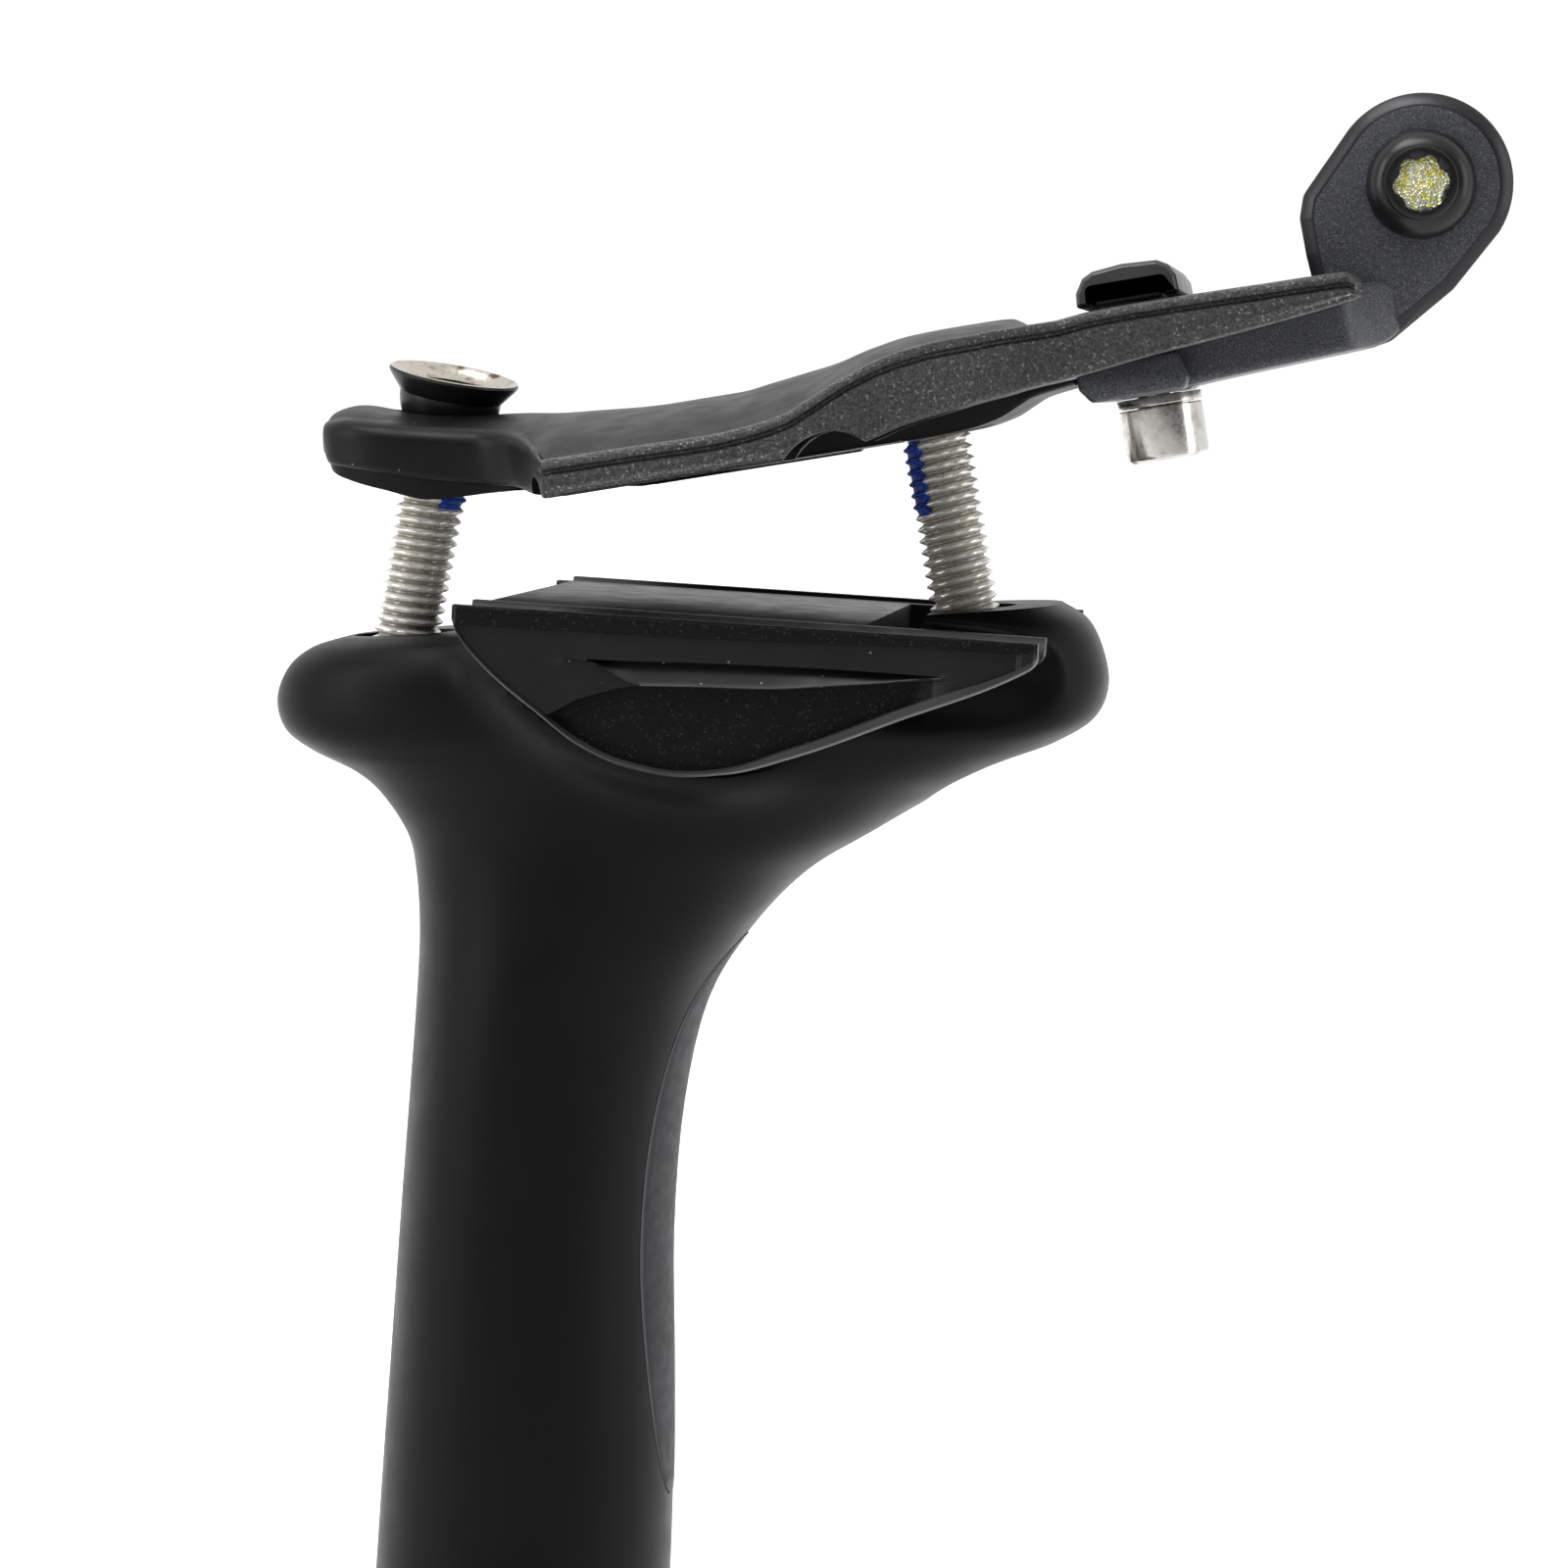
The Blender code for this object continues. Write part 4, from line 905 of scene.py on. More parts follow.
# offsets from the outer face and the rim's height, from the crown outwards and down
RIM_PLAIN = (
    (-2.40, 0.00), (-2.20, -0.01), (-2.00, -0.04), (-1.70, -0.09), (-1.25, -0.19), (-0.85, -0.34),
    (-0.55, -0.54), (-0.30, -0.80), (-0.15, -1.04), (-0.06, -1.28), (-0.01, -1.5), (0.0, -1.75),
)
RIM_RAISED = (
    (-2.40, -0.10), (-2.24, -0.48), (-2.08, -0.48), (-1.92, -0.06), (-1.50, 0.02), (-0.60, 0.0),
    (-0.22, -0.12), (-0.02, -0.45), (0.0, -0.80), (-0.52, -0.98), (-0.52, -1.18), (-0.04, -1.44),
)
FACE_STEPS = 9
WALL_HOLLOW = 0.16
NOTCH, NOTCH_RADIUS, NOTCH_START, NOTCH_END = (-6.2, -9.0), 4.6, 15.5, 40
GROOVE_FRONT, GROOVE_REAR, RAIL_DROP = -45, 10, 7.9
NUT_SEAT, NUT_SEAT_RISE = 4.8, -13
NUT_WELL = ((5.45, -0.5), (6.45, 0.4), (6.7, 3.4), (8.7, 5.9), (0, 5.9))
FRONT_HOLE_RUN, REAR_HOLE_RUN, HOLE_LENGTH = -4.8, 3.6, 16
CLAMP_HOLE = 3.75
CLAMP_FRONT, CLAMP_REAR, BEAM_END = -52.7, 13.2, 38.0
GRAIN_START = -29.6
# The third look is painted shade for the clamp's underside, rear face and cuts.
CLAMP_LOOKS = [CLAMP_SATIN, CLAMP_GRAIN, CLAMP_PAINTED_SHADE]
SATIN, GRAIN, PAINTED_SHADE = 0, 1, 2  # places in CLAMP_LOOKS


def wall_points(width, rim, lower, raised):
    """The outer wall of a wing or beam: over its rim, down its face and round its lower edge."""
    top = [
        (width + a * (1 - raised) + c * raised, rim + b * (1 - raised) + d * raised)
        for (a, b), (c, d) in zip(RIM_PLAIN, RIM_RAISED)
    ]
    end = lower + 0.45
    start = top[-1][1]
    face = []
    for k in range(1, FACE_STEPS + 1):
        t = k / FACE_STEPS
        hollow = WALL_HOLLOW * math.sin(math.pi * t) * raised
        face.append((width - hollow, start + (end - start) * t))
    tuck = ((0.10, 0.18), (0.32, 0.03), (0.65, 0))
    return top + face + [(width - inward, lower + rise) for inward, rise in tuck]


def body_ring(row):
    """A section of the clamp, and how many points its top, its wall and its right half have."""
    u, width, crown, rim, lower, inner, web, keel, bottom = row
    raised = float(ease(-31.2, -28.6, u))
    wall = wall_points(width, rim, lower, raised)
    edge = wall[0]
    top = []
    for k in range(14):
        t = k / 14
        top.append((edge[0] * t, crown - (crown - edge[1]) * t**2.2))
    deep = web + (bottom - web) * 0.85
    under = [
        (inner + 0.3, lower),
        (inner, lower + 0.25),
        (inner - 0.25, web - 0.05),
        (inner - 0.6, web),
        (keel + 0.8, web),
        (keel + 0.2, web - 0.15 if bottom < web - 0.3 else web),
        (keel, min(deep, web)),
        (keel - 0.25, bottom + 0.04),
        (keel - 0.7, bottom),
        (0, bottom),
    ]
    half = top + wall + under
    ring = half + [(-y, v) for y, v in reversed(half[1:-1])]
    return [(u, y, v) for y, v in ring], len(top), len(wall), len(half)


def beam_inner(rim, lower, inner, join_y):
    """The inner side of a beam, from its lower edge up and over to the rim."""
    return [
        (inner + 0.3, lower),
        (inner, lower + 0.3),
        (inner, (lower + rim) / 2),
        (inner, rim - 0.4),
        (inner + 0.35, rim - 0.1),
        ((inner + join_y) / 2, rim - 0.1),
    ]


def clamp_body(bm):
    """The clamp in front of its beams. Gives its last ring and what body_ring says of it."""
    rows = curve(CLAMP_STATIONS)
    us = np.concatenate([
        np.linspace(CLAMP_FRONT, -50.5, 14)[:-1],
        np.linspace(-50.5, -34, 44)[:-1],
        np.linspace(-34, -28, 34)[:-1],
        np.linspace(-28, -11, 34)[:-1],
        np.linspace(-11, CLAMP_REAR, 66),
    ])
    rings = []
    for u in us:
        points, tops, walls, half = body_ring((u, *rows(u)[0]))
        rings.append([bm.verts.new(p) for p in points])
    count = len(rings[0])

    def look(u, j):
        mirrored = j if j < half else 2 * half - 3 - j
        # the underside takes the painted shade
        if mirrored >= tops + walls - 1:
            return PAINTED_SHADE
        return GRAIN if mirrored > tops and u > GRAIN_START else SATIN

    for i in range(len(rings) - 1):
        for j in range(count):
            k = (j + 1) % count
            face = bm.faces.new((rings[i][j], rings[i][k], rings[i + 1][k], rings[i + 1][j]))
            face.material_index = look(us[i], j)
    bm.faces.new(rings[0])
    return rings[-1], tops, walls, half


def add_beam(bm, last, side, tops, walls, half):
    """A rearward beam, grown from the wall of the last ring. Gives its first inner points."""
    wall_index = [tops + k for k in range(walls)]
    if side < 0:
        wall_index = [2 * half - 2 - j for j in wall_index]
    wall = [last[j] for j in wall_index]
    beam = curve(BEAM_STATIONS)
    width, rim, lower, inner = beam(CLAMP_REAR)[0]
    inner_points = beam_inner(rim, lower, inner, abs(wall[0].co.y))
    inside = [bm.verts.new((CLAMP_REAR, side * y, v)) for y, v in inner_points]
    previous = wall + inside
    us = [np.linspace(CLAMP_REAR, 36.6, 48)[1:], np.linspace(36.6, BEAM_END, 9)[1:]]
    for u in np.concatenate(us):
        width, rim, lower, inner = beam(u)[0]
        points = wall_points(width, rim, lower, 1.0 - 0.8 * float(ease(36.9, 37.6, u)))
        points += beam_inner(rim, lower, inner, points[0][0])
        current = [bm.verts.new((u, side * y, v)) for y, v in points]
        for j in range(len(current)):
            k = (j + 1) % len(current)
            face = bm.faces.new((previous[j], previous[k], current[k], current[j]))
            face.material_index = GRAIN if 1 <= j < walls - 1 else SATIN
        previous = current
    bm.faces.new(previous)
    return inside


def close_body(bm, last, inside, tops, walls, half):
    """The body's rear face, round the two beams."""
    edge = tops + walls - 1
    mirror = [last[2 * half - 2 - j] for j in range(1, half)]
    plate = last[: tops + 1] + inside[1][::-1] + last[edge:half]
    plate += mirror[edge - 1 : half - 2][::-1] + inside[-1] + mirror[:tops][::-1]
    # the rear face takes the painted shade
    bm.faces.new(plate).material_index = PAINTED_SHADE


def clamp_cutters():
    """The rail grooves, the notches over them, and each nut's well and slotted hole."""
    cuts = []
    u, v = NOTCH
    for side in (-1, 1):
        start, end = ((x, side * RAIL_SIDE, -RAIL_DROP) for x in (GROOVE_FRONT, GROOVE_REAR))
        cuts.append(rod("groove", RAIL_RADIUS, start, end, CLAMP_FRAME, steps=96))
        start, end = ((u, side * y, v) for y in (NOTCH_START, NOTCH_END))
        cuts.append(rod("notch", NOTCH_RADIUS, start, end, CLAMP_FRAME, steps=96))
    for nut_frame, run in ((FRONT_WELL_FRAME, FRONT_HOLE_RUN), (REAR_NUT_FRAME, REAR_HOLE_RUN)):
        bowl = []
        for k in range(13):
            angle = math.radians(-90 + (90 + NUT_SEAT_RISE) * k / 12)
            bowl.append((NUT_SEAT * math.cos(angle), NUT_SEAT * math.sin(angle)))
        cuts.append(turned("well", (*bowl, *NUT_WELL), nut_frame, steps=72))
        for start in (0, run):
            cuts.append(rod("hole", CLAMP_HOLE, (start, 0, -HOLE_LENGTH), (0, 0, 0), nut_frame))
    # the cut surfaces inside the grooves, notches, wells and holes take the painted shade
    for cutter in cuts:
        for polygon in cutter.polygons:
            polygon.material_index = PAINTED_SHADE
    return cuts


def make_clamp():
    bm = bmesh.new()
    last, *counts = clamp_body(bm)
    inside = {side: add_beam(bm, last, side, *counts) for side in (1, -1)}
    close_body(bm, last, inside, *counts)
    clamp = finished("upper_clamp_detail", bm, CLAMP_FRAME)
    cuts = clamp_cutters()
    piece("upper_clamp", carve(clamp, CLAMP_LOOKS, cuts=cuts), CLAMP_LOOKS)


make_clamp()


# ---- nuts, bolts and seats
THREAD_RADIUS, THREAD_DEPTH, PITCH = 2.98, 0.58, 1.0
HEAD_RADIUS, HEAD_HEIGHT, BEARING, SOCKET_FLATS, SOCKET_DEPTH = 5.0, 5.0, -1.9, 5.0, 3.0
OVER_THE_NUT = 0.4
FRONT_REACH = (FRONT_PIVOT - FRONT_SEAT).length / MM
REAR_REACH = (REAR_PIVOT - REAR_SEAT).length / MM
PATCH_LENGTH, PATCH_HALF_ANGLE = 7.0, math.radians(62)
PATCH_SKIN, PATCH_FILL, PATCH_ROOT, PATCH_FADE = 0.05, 2.74, 2.2, 0.9
NUT_BORE, NUT_BOTTOM, NUT_TOP, NUT_FLANGE, DISH, NUT_ROUND = 3.55, -2.4, 2.0, 5.75, 1.1, 4.5
INSERT_RADIUS, INSERT_BORE, INSERT_HEIGHT, INSERT_EDGE = 6.1, 4.3, 1.2, 0.25
WASHER_RADIUS, WASHER_BORE, WASHER_TOP, WASHER_BOTTOM = 5.2, 3.3, -0.3, -1.8


def thread(angle, z, top):
    """The radius of a right-hand thread at a point."""
    phase = (z / PITCH - angle / (2 * math.pi)) % 1.0
    crest = np.clip((np.abs(2 * phase - 1) - 0.14) / 0.70, 0, 1)
    run_out = ease(BEARING + 0.2, BEARING + 1.4, z)
    r = THREAD_RADIUS - THREAD_DEPTH * (1 - crest) * run_out - 0.05 * (1 - run_out)
    return np.minimum(r, THREAD_RADIUS - np.maximum(z - (top - 0.55), 0) * 0.9)


def make_bolt(end, matrix, reach):
    """A bolt from the tip of its thread down to the hexagon socket in its head."""
    top = reach + OVER_THE_NUT
    bottom = BEARING - HEAD_HEIGHT
    angles = np.array(around(56))
    cosines, sines = np.cos(angles), np.sin(angles)
    rings = []

    def ring(radius, z):
        radius = np.broadcast_to(radius, angles.shape)
        height = np.full(len(angles), z)
        rings.append(np.stack([radius * cosines, radius * sines, height], axis=1))

    ring(0.0, top - 0.25)
    ring(1.6, top - 0.25)
    ring(2.1, top)
    for z in np.arange(top - 0.02, BEARING + 0.05, -PITCH / 12):
        ring(thread(angles, z, top), z)
    ring(THREAD_RADIUS + 0.1, BEARING)
    for inward, drop in ((0.3, 0.0), (0.08, 0.08), (0.0, 0.3)):
        ring(HEAD_RADIUS - inward, BEARING - drop)
    for inward, rise in ((0.0, 0.6), (0.12, 0.3), (0.5, 0.0)):
        ring(HEAD_RADIUS - inward, bottom + rise)
    flats = np.array([hexagon(a, SOCKET_FLATS) for a in angles])
    ring(flats + 0.3, bottom)
    ring(flats, bottom + 0.25)
    ring(flats, bottom + SOCKET_DEPTH)
    ring(0.0, bottom + SOCKET_DEPTH + 0.6)
    mesh = build(end + "_bolt_detail", rings, matrix, capped=False)
    local = matrix.inverted()
    # crest: 1 on the thread's crests, 0 in its roots; the steel's painted shade in the roots
    # follows it
    radii = [math.hypot(*(local @ vertex.co).xy) for vertex in mesh.vertices]
    crest = np.clip((np.array(radii) - THREAD_RADIUS) / THREAD_DEPTH + 1, 0, 1)
    store = mesh.attributes.new("crest", "FLOAT", "POINT")
    store.data.foreach_set("value", crest.astype(np.float32))
    piece(end + "_bolt", mesh, [BOLT_STEEL])


def make_patch(end, matrix, start, facing, reach):
    """Nylon fused on part of the thread: it fills the roots and thins out at its borders."""
    top = reach + OVER_THE_NUT
    share = np.linspace(-1, 1, 29)
    angles = facing + PATCH_HALF_ANGLE * share
    rings = []
    for z in np.linspace(start, start + PATCH_LENGTH, 85):
        r = thread(angles, np.full(angles.shape, z), top)
        fade = ease(0, 0.10, 1 - np.abs(share))
        fade = fade * ease(0, PATCH_FADE, z - start) * ease(0, PATCH_FADE, start + PATCH_LENGTH - z)
        filled = np.maximum(r + PATCH_SKIN, PATCH_FILL)
        outer = r - 0.03 + (filled - r + 0.03) * fade
        loop = [*zip(outer, angles), *((PATCH_ROOT, angle) for angle in angles[::-1])]
        rings.append([(r * math.cos(angle), r * math.sin(angle), z) for r, angle in loop])
    piece(end + "_bolt_patch", build(end + "_patch", rings, matrix), [BLUE])


def make_nut(end, matrix):
    """A dished nut with a round underside, which rocks in the clamp; bright steel in its dish,
    painted shade on its sides and underside.
    """
    under = []
    for k in range(15):
        angle = math.asin(NUT_BOTTOM / NUT_ROUND) * k / 14
        under.append((NUT_ROUND * math.cos(angle), NUT_ROUND * math.sin(angle)))
    dish = [(0, 1), (0.5, 0.95), (1.0, 0.74), (1.45, 0.35)]
    rim = [(0.42, 0.04), (0.30, 0), (0.10, 0.06), (0, 0.26), (0.06, 0.5)]
    profile = [
        *((NUT_BORE + outward, NUT_TOP - DISH * share) for outward, share in dish),
        *((NUT_FLANGE - inward, NUT_TOP - drop) for inward, drop in rim),
        *under,
        (NUT_BORE + 0.25, NUT_BOTTOM),
        (NUT_BORE, NUT_BOTTOM + 0.25),
    ]
    bright = len(dish) + 2

    # the dish takes the bright steel; the rest takes the painted shade
    def looks(i, j):
        return 0 if i < bright else 1

    steel = [NUT_DISH, NUT_PAINTED_SHADE]
    node = end + "_clamp_nut"
    turned_piece(node, profile, matrix, steel, "nut_steel", steps=80, ring=True, looks=looks)


def make_seat(end, matrix):
    """The metal ring in the post's head and the domed washer that rocks against it."""
    radius, bore, top, edge = INSERT_RADIUS, INSERT_BORE, INSERT_HEIGHT, INSERT_EDGE
    insert = [
        (radius, top), (radius, 0.0), (bore + edge, 0.0), (bore, edge), (bore, top - edge),
        (bore + edge, top),
    ]
    turned_piece(end + "_seat_insert", insert, matrix, [ALLOY], "insert_alloy", ring=True)
    radius, bore, top, bottom = WASHER_RADIUS, WASHER_BORE, WASHER_TOP, WASHER_BOTTOM
    washer = [
        (bore, top - 0.05), (bore + 0.3, top), (4.2, top - 0.35), (4.8, top - 0.62),
        (radius, top - 0.85), (radius, bottom + 0.1), (radius - 0.1, bottom), (bore + 0.1, bottom),
        (bore, bottom + 0.1),
    ]
    turned_piece(end + "_bolt_washer", washer, matrix, [ALLOY], "insert_alloy", ring=True)


for end_name, bolt_matrix, reach_mm in (
    ("front", FRONT_BOLT_FRAME, FRONT_REACH),
    ("rear", REAR_BOLT_FRAME, REAR_REACH),
):
    make_bolt(end_name, bolt_matrix, reach_mm)
    make_seat(end_name, bolt_matrix)
make_patch("front", FRONT_BOLT_FRAME, FRONT_REACH - 10, 0.0, FRONT_REACH)
make_patch("rear", REAR_BOLT_FRAME, REAR_REACH - 13, math.pi, REAR_REACH)
make_nut("front", FRONT_NUT_FRAME)
make_nut("rear", REAR_NUT_FRAME)


# ---- light bracket
EYE, EYE_RADIUS = (44.1, 8.3), 3.6
LUG_RADIUS, LUG_HALF = 7.68, 3.4
LUG_CORNERS = (
    (45.6, -0.7), (39.8, -4.2), (38.2, -4.5), (34.6, -4.6), (34.2, 0.0), (33.8, 4.0), (33.7, 7.2),
    (34.3, 9.1), (35.8, 10.7),
)
LUG_EDGE = ((0, 1.15), (0.10, 0.92), (0.55, 0.22), (0.85, 0.0))
SCREW_U, SCREW_HOLE = 19.6, 2.3
FOOT_HALF = 13.4
FOOT_CORNERS = (
    (13.8, -2.9), (13.8, -4.3), (14.8, -5.5), (22.4, -5.5), (23.0, -4.6), (22.2, -2.2),
    (15.0, -2.4),
)
CAP_HALF, CAP_UNDERSIDE = 14.2, 2.35
SLOT_START, SLOT_END, SLOT_TOP = 15.9, 22.1, 3.75
CAP_CORNERS = (
    (14.7, CAP_UNDERSIDE), (14.8, 3.6), (15.5, 4.75), (16.4, 5.2), (18.9, 5.45), (21.8, 5.3),
    (22.7, 4.8), (23.2, 3.9), (23.3, CAP_UNDERSIDE), (SLOT_END, CAP_UNDERSIDE),
    (SLOT_END, SLOT_TOP), (SLOT_START, SLOT_TOP), (SLOT_START, CAP_UNDERSIDE),
)
NUT_BAR_START, NUT_BAR_END, NUT_BAR_TOP, NUT_BAR_HALF = 16.3, 21.8, 3.65, 13.5
CUT_SIDE = 9
BAR = curve((
    # u, half width, bottom, top
    (13.8, 9.1, -4.5, -0.8),
    (14.0, 9.4, -4.9, -0.55),
    (14.6, 9.5, -5.45, -0.5),
    (19.0, 9.5, -5.4, 0.1),
    (22.8, 9.5, -5.3, 0.65),
    (24.5, 9.5, -5.18, 0.9),
    (35.6, 9.5, -4.6, 0.9),
    (36.6, 9.1, -4.55, 0.9),
    (37.6, 7.3, -4.5, 0.9),
    (38.6, 5.6, -4.4, 0.9),
    (39.6, 4.3, -4.1, 0.9),
    (40.6, 3.2, -3.5, 0.6),
))


def lug_outline():
    """The lug's round eye and its rounded foot."""
    arc = []
    for k in range(41):
        angle = math.radians(140 - 180 * k / 40)
        arc.append((EYE[0] + LUG_RADIUS * math.cos(angle), EYE[1] + LUG_RADIUS * math.sin(angle)))
    steps = 5
    corners = rounded([arc[-1], *LUG_CORNERS, arc[0]], 1.6, steps)
    return arc + corners[steps + 1 : -steps - 1]


def bar_ring(u):
    half, bottom, top = BAR(u)[0]
    outline = rounded([(-half, bottom), (half, bottom), (half, top), (-half, top)], 0.7, 5)
    return [(u, y, v) for y, v in outline]


def make_bracket():
    us = np.concatenate([
        np.linspace(13.8, 14.6, 7)[:-1],
        np.linspace(14.6, 35.4, 30)[:-1],
        np.linspace(35.4, 40.6, 27),
    ])
    bar = build("light_bracket_detail", [bar_ring(u) for u in us], CLAMP_FRAME)
    foot_levels = edges(FOOT_HALF, (0, 0.55), (0.16, 0.2), (0.5, 0))
    foot = slab("foot", rounded(FOOT_CORNERS, 0.7), foot_levels, CLAMP_FRAME)
    lug_levels = edges(LUG_HALF, *LUG_EDGE)
    flat = len(LUG_EDGE) - 1

    # the lug's faces and side take the grain; its rounded edges take the painted shade
    def lug_looks(i, j):
        return 0 if i == flat else 1

    lug = slab("lug", lug_outline(), lug_levels, CLAMP_FRAME, lug_looks)
    u, v = EYE
    eye = rod("eye", EYE_RADIUS, (u, -CUT_SIDE, v), (u, CUT_SIDE, v), CLAMP_FRAME)
    hole = rod("screw_hole", SCREW_HOLE, (SCREW_U, 0, -CUT_SIDE), (SCREW_U, 0, 6), CLAMP_FRAME)
    looks = [BRACKET_GRAIN, BRACKET_PAINTED_SHADE]
    made = carve(bar, looks, (foot, lug), (eye, hole), angle=30)
    piece("light_bracket", made, looks)


def make_cap():
    """The slotted cap over the beams and the threaded bar in its slot."""
    levels = edges(CAP_HALF, (0, 0.34), (0.1, 0.2), (0.3, 0.06), (0.6, 0))
    cap = slab("nut_block_detail", rounded(CAP_CORNERS, 0.35), levels, CLAMP_FRAME)
    piece("nut_block", cap, [CAP_BLACK])
    corners = (
        (NUT_BAR_START, CAP_UNDERSIDE),
        (NUT_BAR_END, CAP_UNDERSIDE),
        (NUT_BAR_END, NUT_BAR_TOP),
        (NUT_BAR_START, NUT_BAR_TOP),
    )
    levels = edges(NUT_BAR_HALF, (0, 0.3), (0.1, 0.1), (0.3, 0))
    nut_bar = slab("nut_bar_detail", rounded(corners, 0.3, 3), levels, CLAMP_FRAME)
    hole = rod("bar_hole", SCREW_HOLE, (SCREW_U, 0, 0), (SCREW_U, 0, 8), CLAMP_FRAME)
    piece("nut_bar", carve(nut_bar, [BAR_DARK], cuts=(hole,)), [BAR_DARK])


CAP_SCREW_TIP, CAP_SCREW_RADIUS, CAP_SCREW_DEPTH = 3.9, 1.9, 0.22
CAP_HEAD_TOP, CAP_HEAD_BOTTOM = -6.55, -11.15
# radius and height over the head's lower end
CAP_HEAD = (
    (3.6, 0.55), (3.52, 0.22), (3.2, 0), (2.0, 0), (3.2, 0.04, hexagon), (3.0, 0.25, hexagon),
    (3.0, 2.2, hexagon), (0, 2.7),
)
CAP_WASHER = ((3.6, -5.65), (3.65, -5.75), (3.65, -6.35), (3.55, -6.45), (2.1, -6.45), (2.1, -5.65))
LUG_GAP, LUG_SCREW_TIP, LUG_SCREW_RADIUS, LUG_SCREW_DEPTH = 0.1, -8.6, 2.45, 0.25
# radius and height over the face it bears on, from its socket outwards
LUG_HEAD = (
    (0, 2.05), (1.2, 1.98), (2.15, 2.02, lobes), (2.18, 2.35, lobes), (2.35, 2.55), (2.75, 2.6),
    (2.98, 2.52), (3.10, 2.30), (3.35, 2.22), (3.75, 1.95), (4.15, 1.5), (4.45, 0.85), (4.58, 0.4),
    (4.58, 0.08), (4.5, 0), (LUG_SCREW_RADIUS, 0),
)
LUG_SLEEVE = ((3.5, LUG_HALF), (3.5, -LUG_HALF), (2.7, -LUG_HALF), (2.7, LUG_HALF))
# radius and height over the lug's far face; negative heights lie outside it
LUG_WASHER = ((4.9, -0.2), (4.9, -0.9), (4.8, -1.0), (2.6, -1.0), (2.6, -LUG_GAP), (4.8, -LUG_GAP))
LUG_NUT = (
    (8.0, -1.5, hexagon), (8.0, -4.5, hexagon), (3.9, -4.9), (2.8, -4.9), (2.55, -4.7),
    (2.55, -1.3), (2.8, -1.1), (3.9, -1.1),
)


def make_bracket_screw():
    """The cap screw that hangs the bracket from its cap, and its washer."""
    matrix = CLAMP_FRAME @ Matrix.Translation((SCREW_U, 0, 0))
    tip, radius, head = CAP_SCREW_TIP, CAP_SCREW_RADIUS, CAP_HEAD_TOP
    profile = [(0, tip), (1.5, tip), (radius, tip - 0.35)]
    for k in range(60):
        z = tip - 0.4 - k * 0.175
        if z > head + 0.1:
            profile.append((radius - CAP_SCREW_DEPTH * (k % 4 in (1, 2)), z))
    profile += [(1.95, head), (3.45, head), (3.6, head - 0.15), *moved(CAP_HEAD, CAP_HEAD_BOTTOM)]
    steel = [SCREW_STEEL]
    turned_piece("bracket_screw", profile, matrix, steel, "stainless", steps=72)
    turned_piece("bracket_washer", CAP_WASHER, matrix, steel, "stainless", ring=True)


def make_lug_fasteners():
    """The lug's sleeve and screw, and the washer and nut on its far side."""
    turn = Matrix.Rotation(math.radians(90), 4, "X")
    matrix = CLAMP_FRAME @ Matrix.Translation((EYE[0], 0, EYE[1])) @ turn
    turned_piece("lug_sleeve", LUG_SLEEVE, matrix, [ALLOY], "insert_alloy", ring=True)
    head = LUG_HALF + LUG_GAP
    profile = moved(LUG_HEAD, head)
    for k in range(78):
        z = head - 0.2 - k * 0.15
        if z > LUG_SCREW_TIP + 0.4:
            profile.append((LUG_SCREW_RADIUS - LUG_SCREW_DEPTH * (k % 5 in (1, 2, 3)), z))
    profile += [(2.1, LUG_SCREW_TIP), (0, LUG_SCREW_TIP)]

    def looks(i, j):
        return 1 if i < 2 else 0

    black = [SCREW_BLACK, SEALANT]
    turned_piece("lug_screw", profile, matrix, black, "black_steel", steps=96, looks=looks)
    washer, nut = moved(LUG_WASHER, -LUG_HALF), moved(LUG_NUT, -LUG_HALF)
    turned_piece("lug_washer", washer, matrix, [SCREW_STEEL], "stainless", ring=True)
    turned_piece("lug_nut", nut, matrix, [SCREW_STEEL], "stainless", steps=72, ring=True)


make_bracket()
make_cap()
make_bracket_screw()
make_lug_fasteners()


# ---- studio
# Where each light starts and ends along its axis, and its strength at the two ends
WALL_LIGHT = (-0.72, 0.35, 0.12, 1.06)
CEILING_LIGHT = (0.30, 0.95, 0.10, 0.9)
FLOOR_HALF, FLOOR_DROP = 12, 0.0005
FLOOR_GLOW = (-0.3, 0.8, 0.0, 0.75)
# name, place, width and height, power
SOFT_BOXES = (
    ("top_box", (-0.25, -0.35, 1.25), (0.7, 0.5), 8),
    ("left_box", (-1.0, -0.55, 0.65), (0.4, 0.9), 5),
    ("right_box", (1.1, -0.25, 0.6), (0.4, 0.9), 3),
)
LIT_POINT = (0.01, 0, RAIL_HEIGHT)


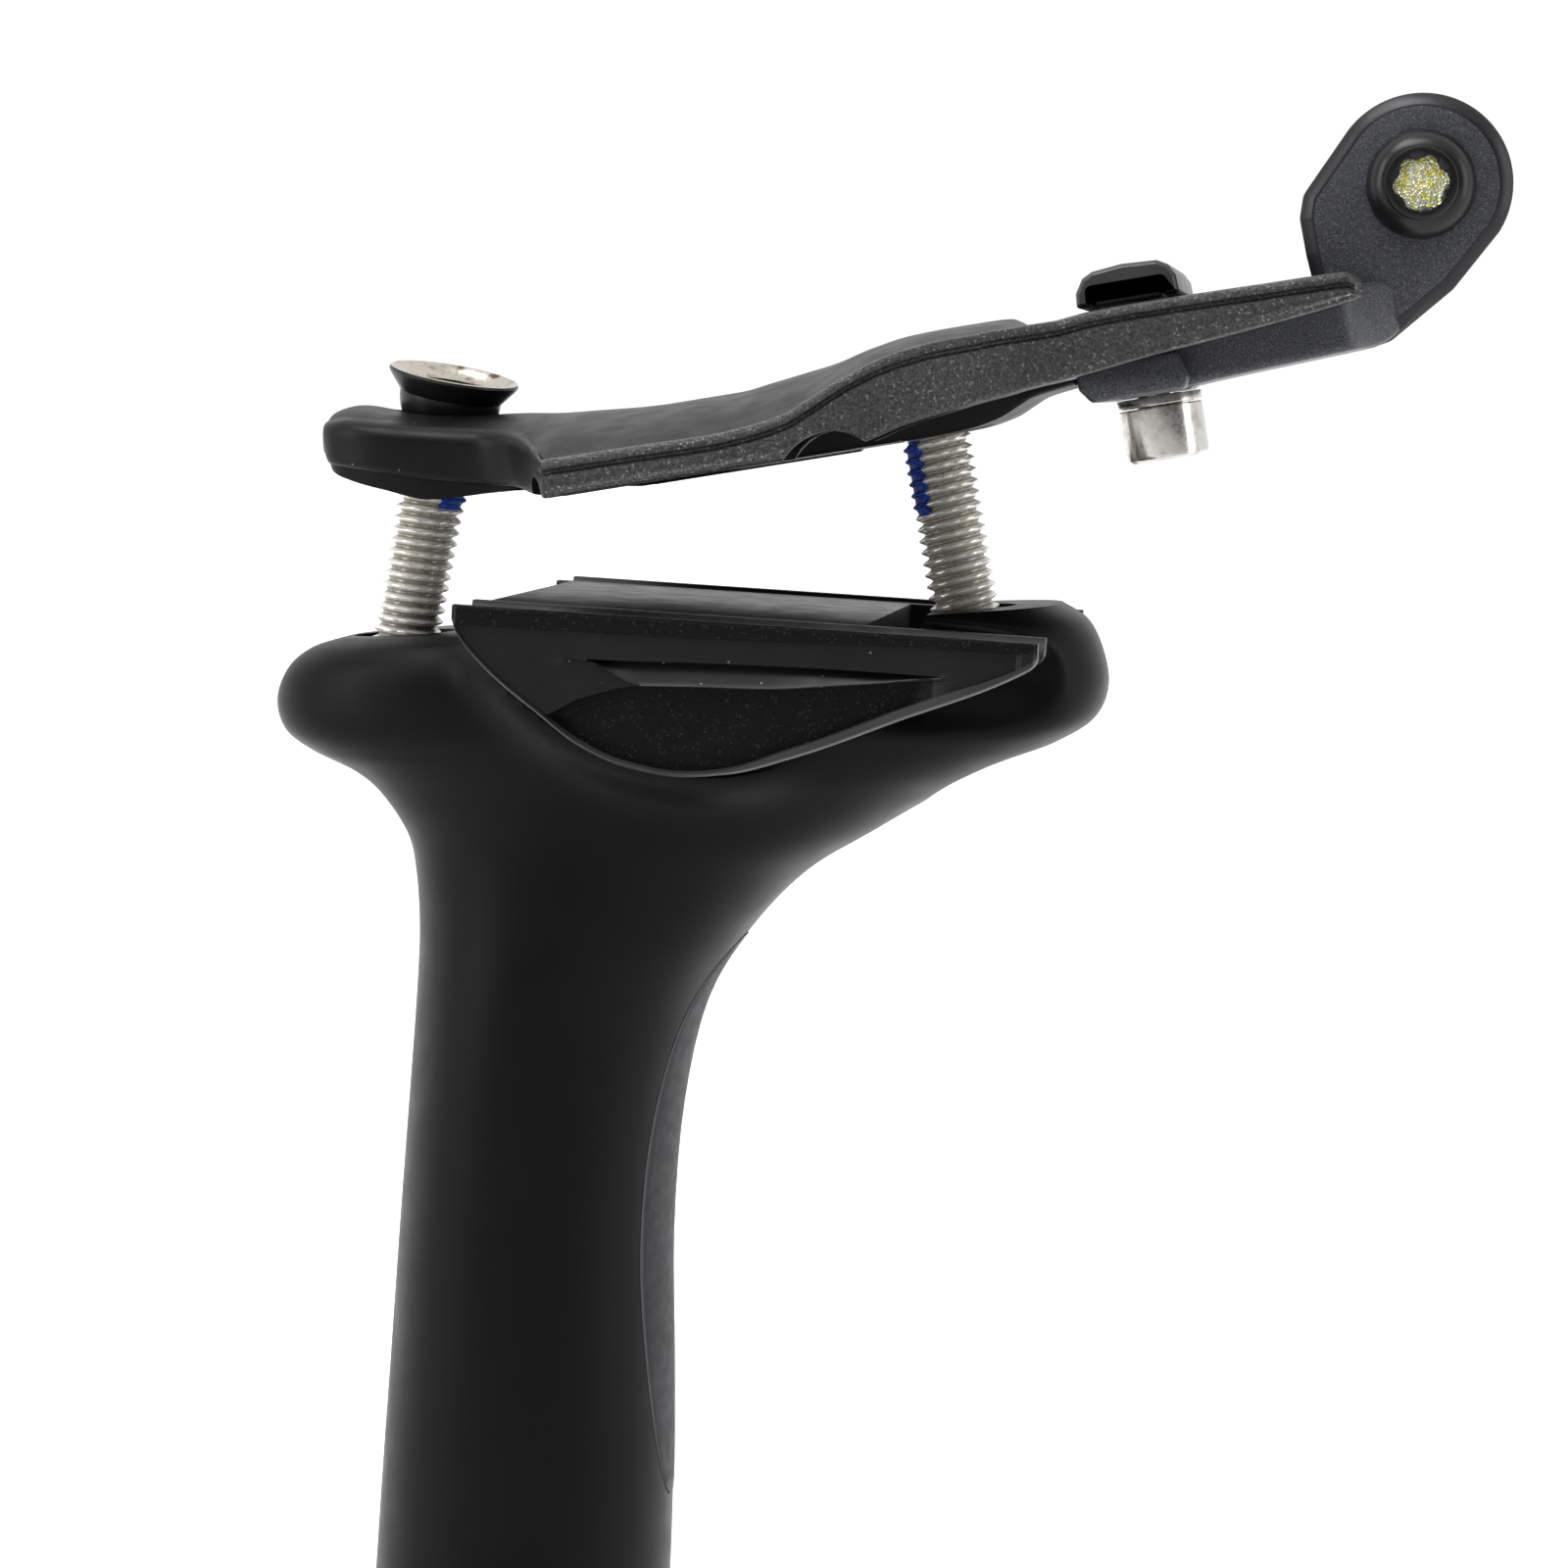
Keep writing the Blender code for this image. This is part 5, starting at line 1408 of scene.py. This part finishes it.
def make_floor():
    """Pale paper, lit from within behind the object so that it runs into the bright room."""
    mesh = bpy.data.meshes.new("floor")
    corners = [(x * FLOOR_HALF, y * FLOOR_HALF, 0) for x, y in ((-1, -1), (1, -1), (1, 1), (-1, 1))]
    mesh.from_pydata(corners, [], [(0, 1, 2, 3)])
    floor = bpy.data.objects.new("floor", mesh)
    floor.location.z = -FLOOR_DROP
    look = Look("floor_paper", specular=0.1)
    split = look.node("ShaderNodeSeparateXYZ")
    look.links.new(look.place, split.inputs["Vector"])
    glow = look.spread(split.outputs["Y"], *FLOOR_GLOW)
    look.links.new(glow, look.shader.inputs["Emission Strength"])
    look.shader.inputs["Emission Color"].default_value = (1, 1, 1, 1)
    paper = look.patches(3, 4, 0.3, 0.7, 0.86, 0.89)
    look.colour(paper).rough(0.8).bump(look.noise(1.2, detail=3), 0.02, 0.3)
    mesh.materials.append(look.material)
    bpy.context.scene.collection.objects.link(floor)


def make_world():
    """A pale room: bright behind the object, beside it and overhead, dim in front of it."""
    world = bpy.data.worlds.new("room")
    bpy.context.scene.world = world
    world.use_nodes = True
    nodes, links = world.node_tree.nodes, world.node_tree.links
    coordinate = nodes.new("ShaderNodeTexCoord")
    split = nodes.new("ShaderNodeSeparateXYZ")
    links.new(coordinate.outputs["Generated"], split.inputs["Vector"])
    lighter = nodes.new("ShaderNodeMath")
    lighter.operation = "MAXIMUM"
    for slot, axis, limits in ((0, "Y", WALL_LIGHT), (1, "Z", CEILING_LIGHT)):
        ramp = nodes.new("ShaderNodeMapRange")
        ramp.interpolation_type = "SMOOTHSTEP"
        for socket, number in zip(RANGE_SOCKETS, limits):
            ramp.inputs[socket].default_value = number
        links.new(split.outputs[axis], ramp.inputs["Value"])
        links.new(ramp.outputs["Result"], lighter.inputs[slot])
    background = nodes["Background"]
    background.inputs["Color"].default_value = (1, 1, 1, 1)
    links.new(lighter.outputs["Value"], background.inputs["Strength"])


def soft_box(name, place, size, power):
    data = bpy.data.lights.new(name, "AREA")
    data.shape = "RECTANGLE"
    data.size, data.size_y = size
    data.energy = power
    light = bpy.data.objects.new(name, data)
    light.location = place
    light.rotation_mode = "QUATERNION"
    light.rotation_quaternion = (Vector(LIT_POINT) - Vector(place)).to_track_quat("-Z", "Y")
    bpy.context.scene.collection.objects.link(light)


make_floor()
make_world()
for box in SOFT_BOXES:
    soft_box(*box)
bpy.context.scene.view_settings.view_transform = "Standard"
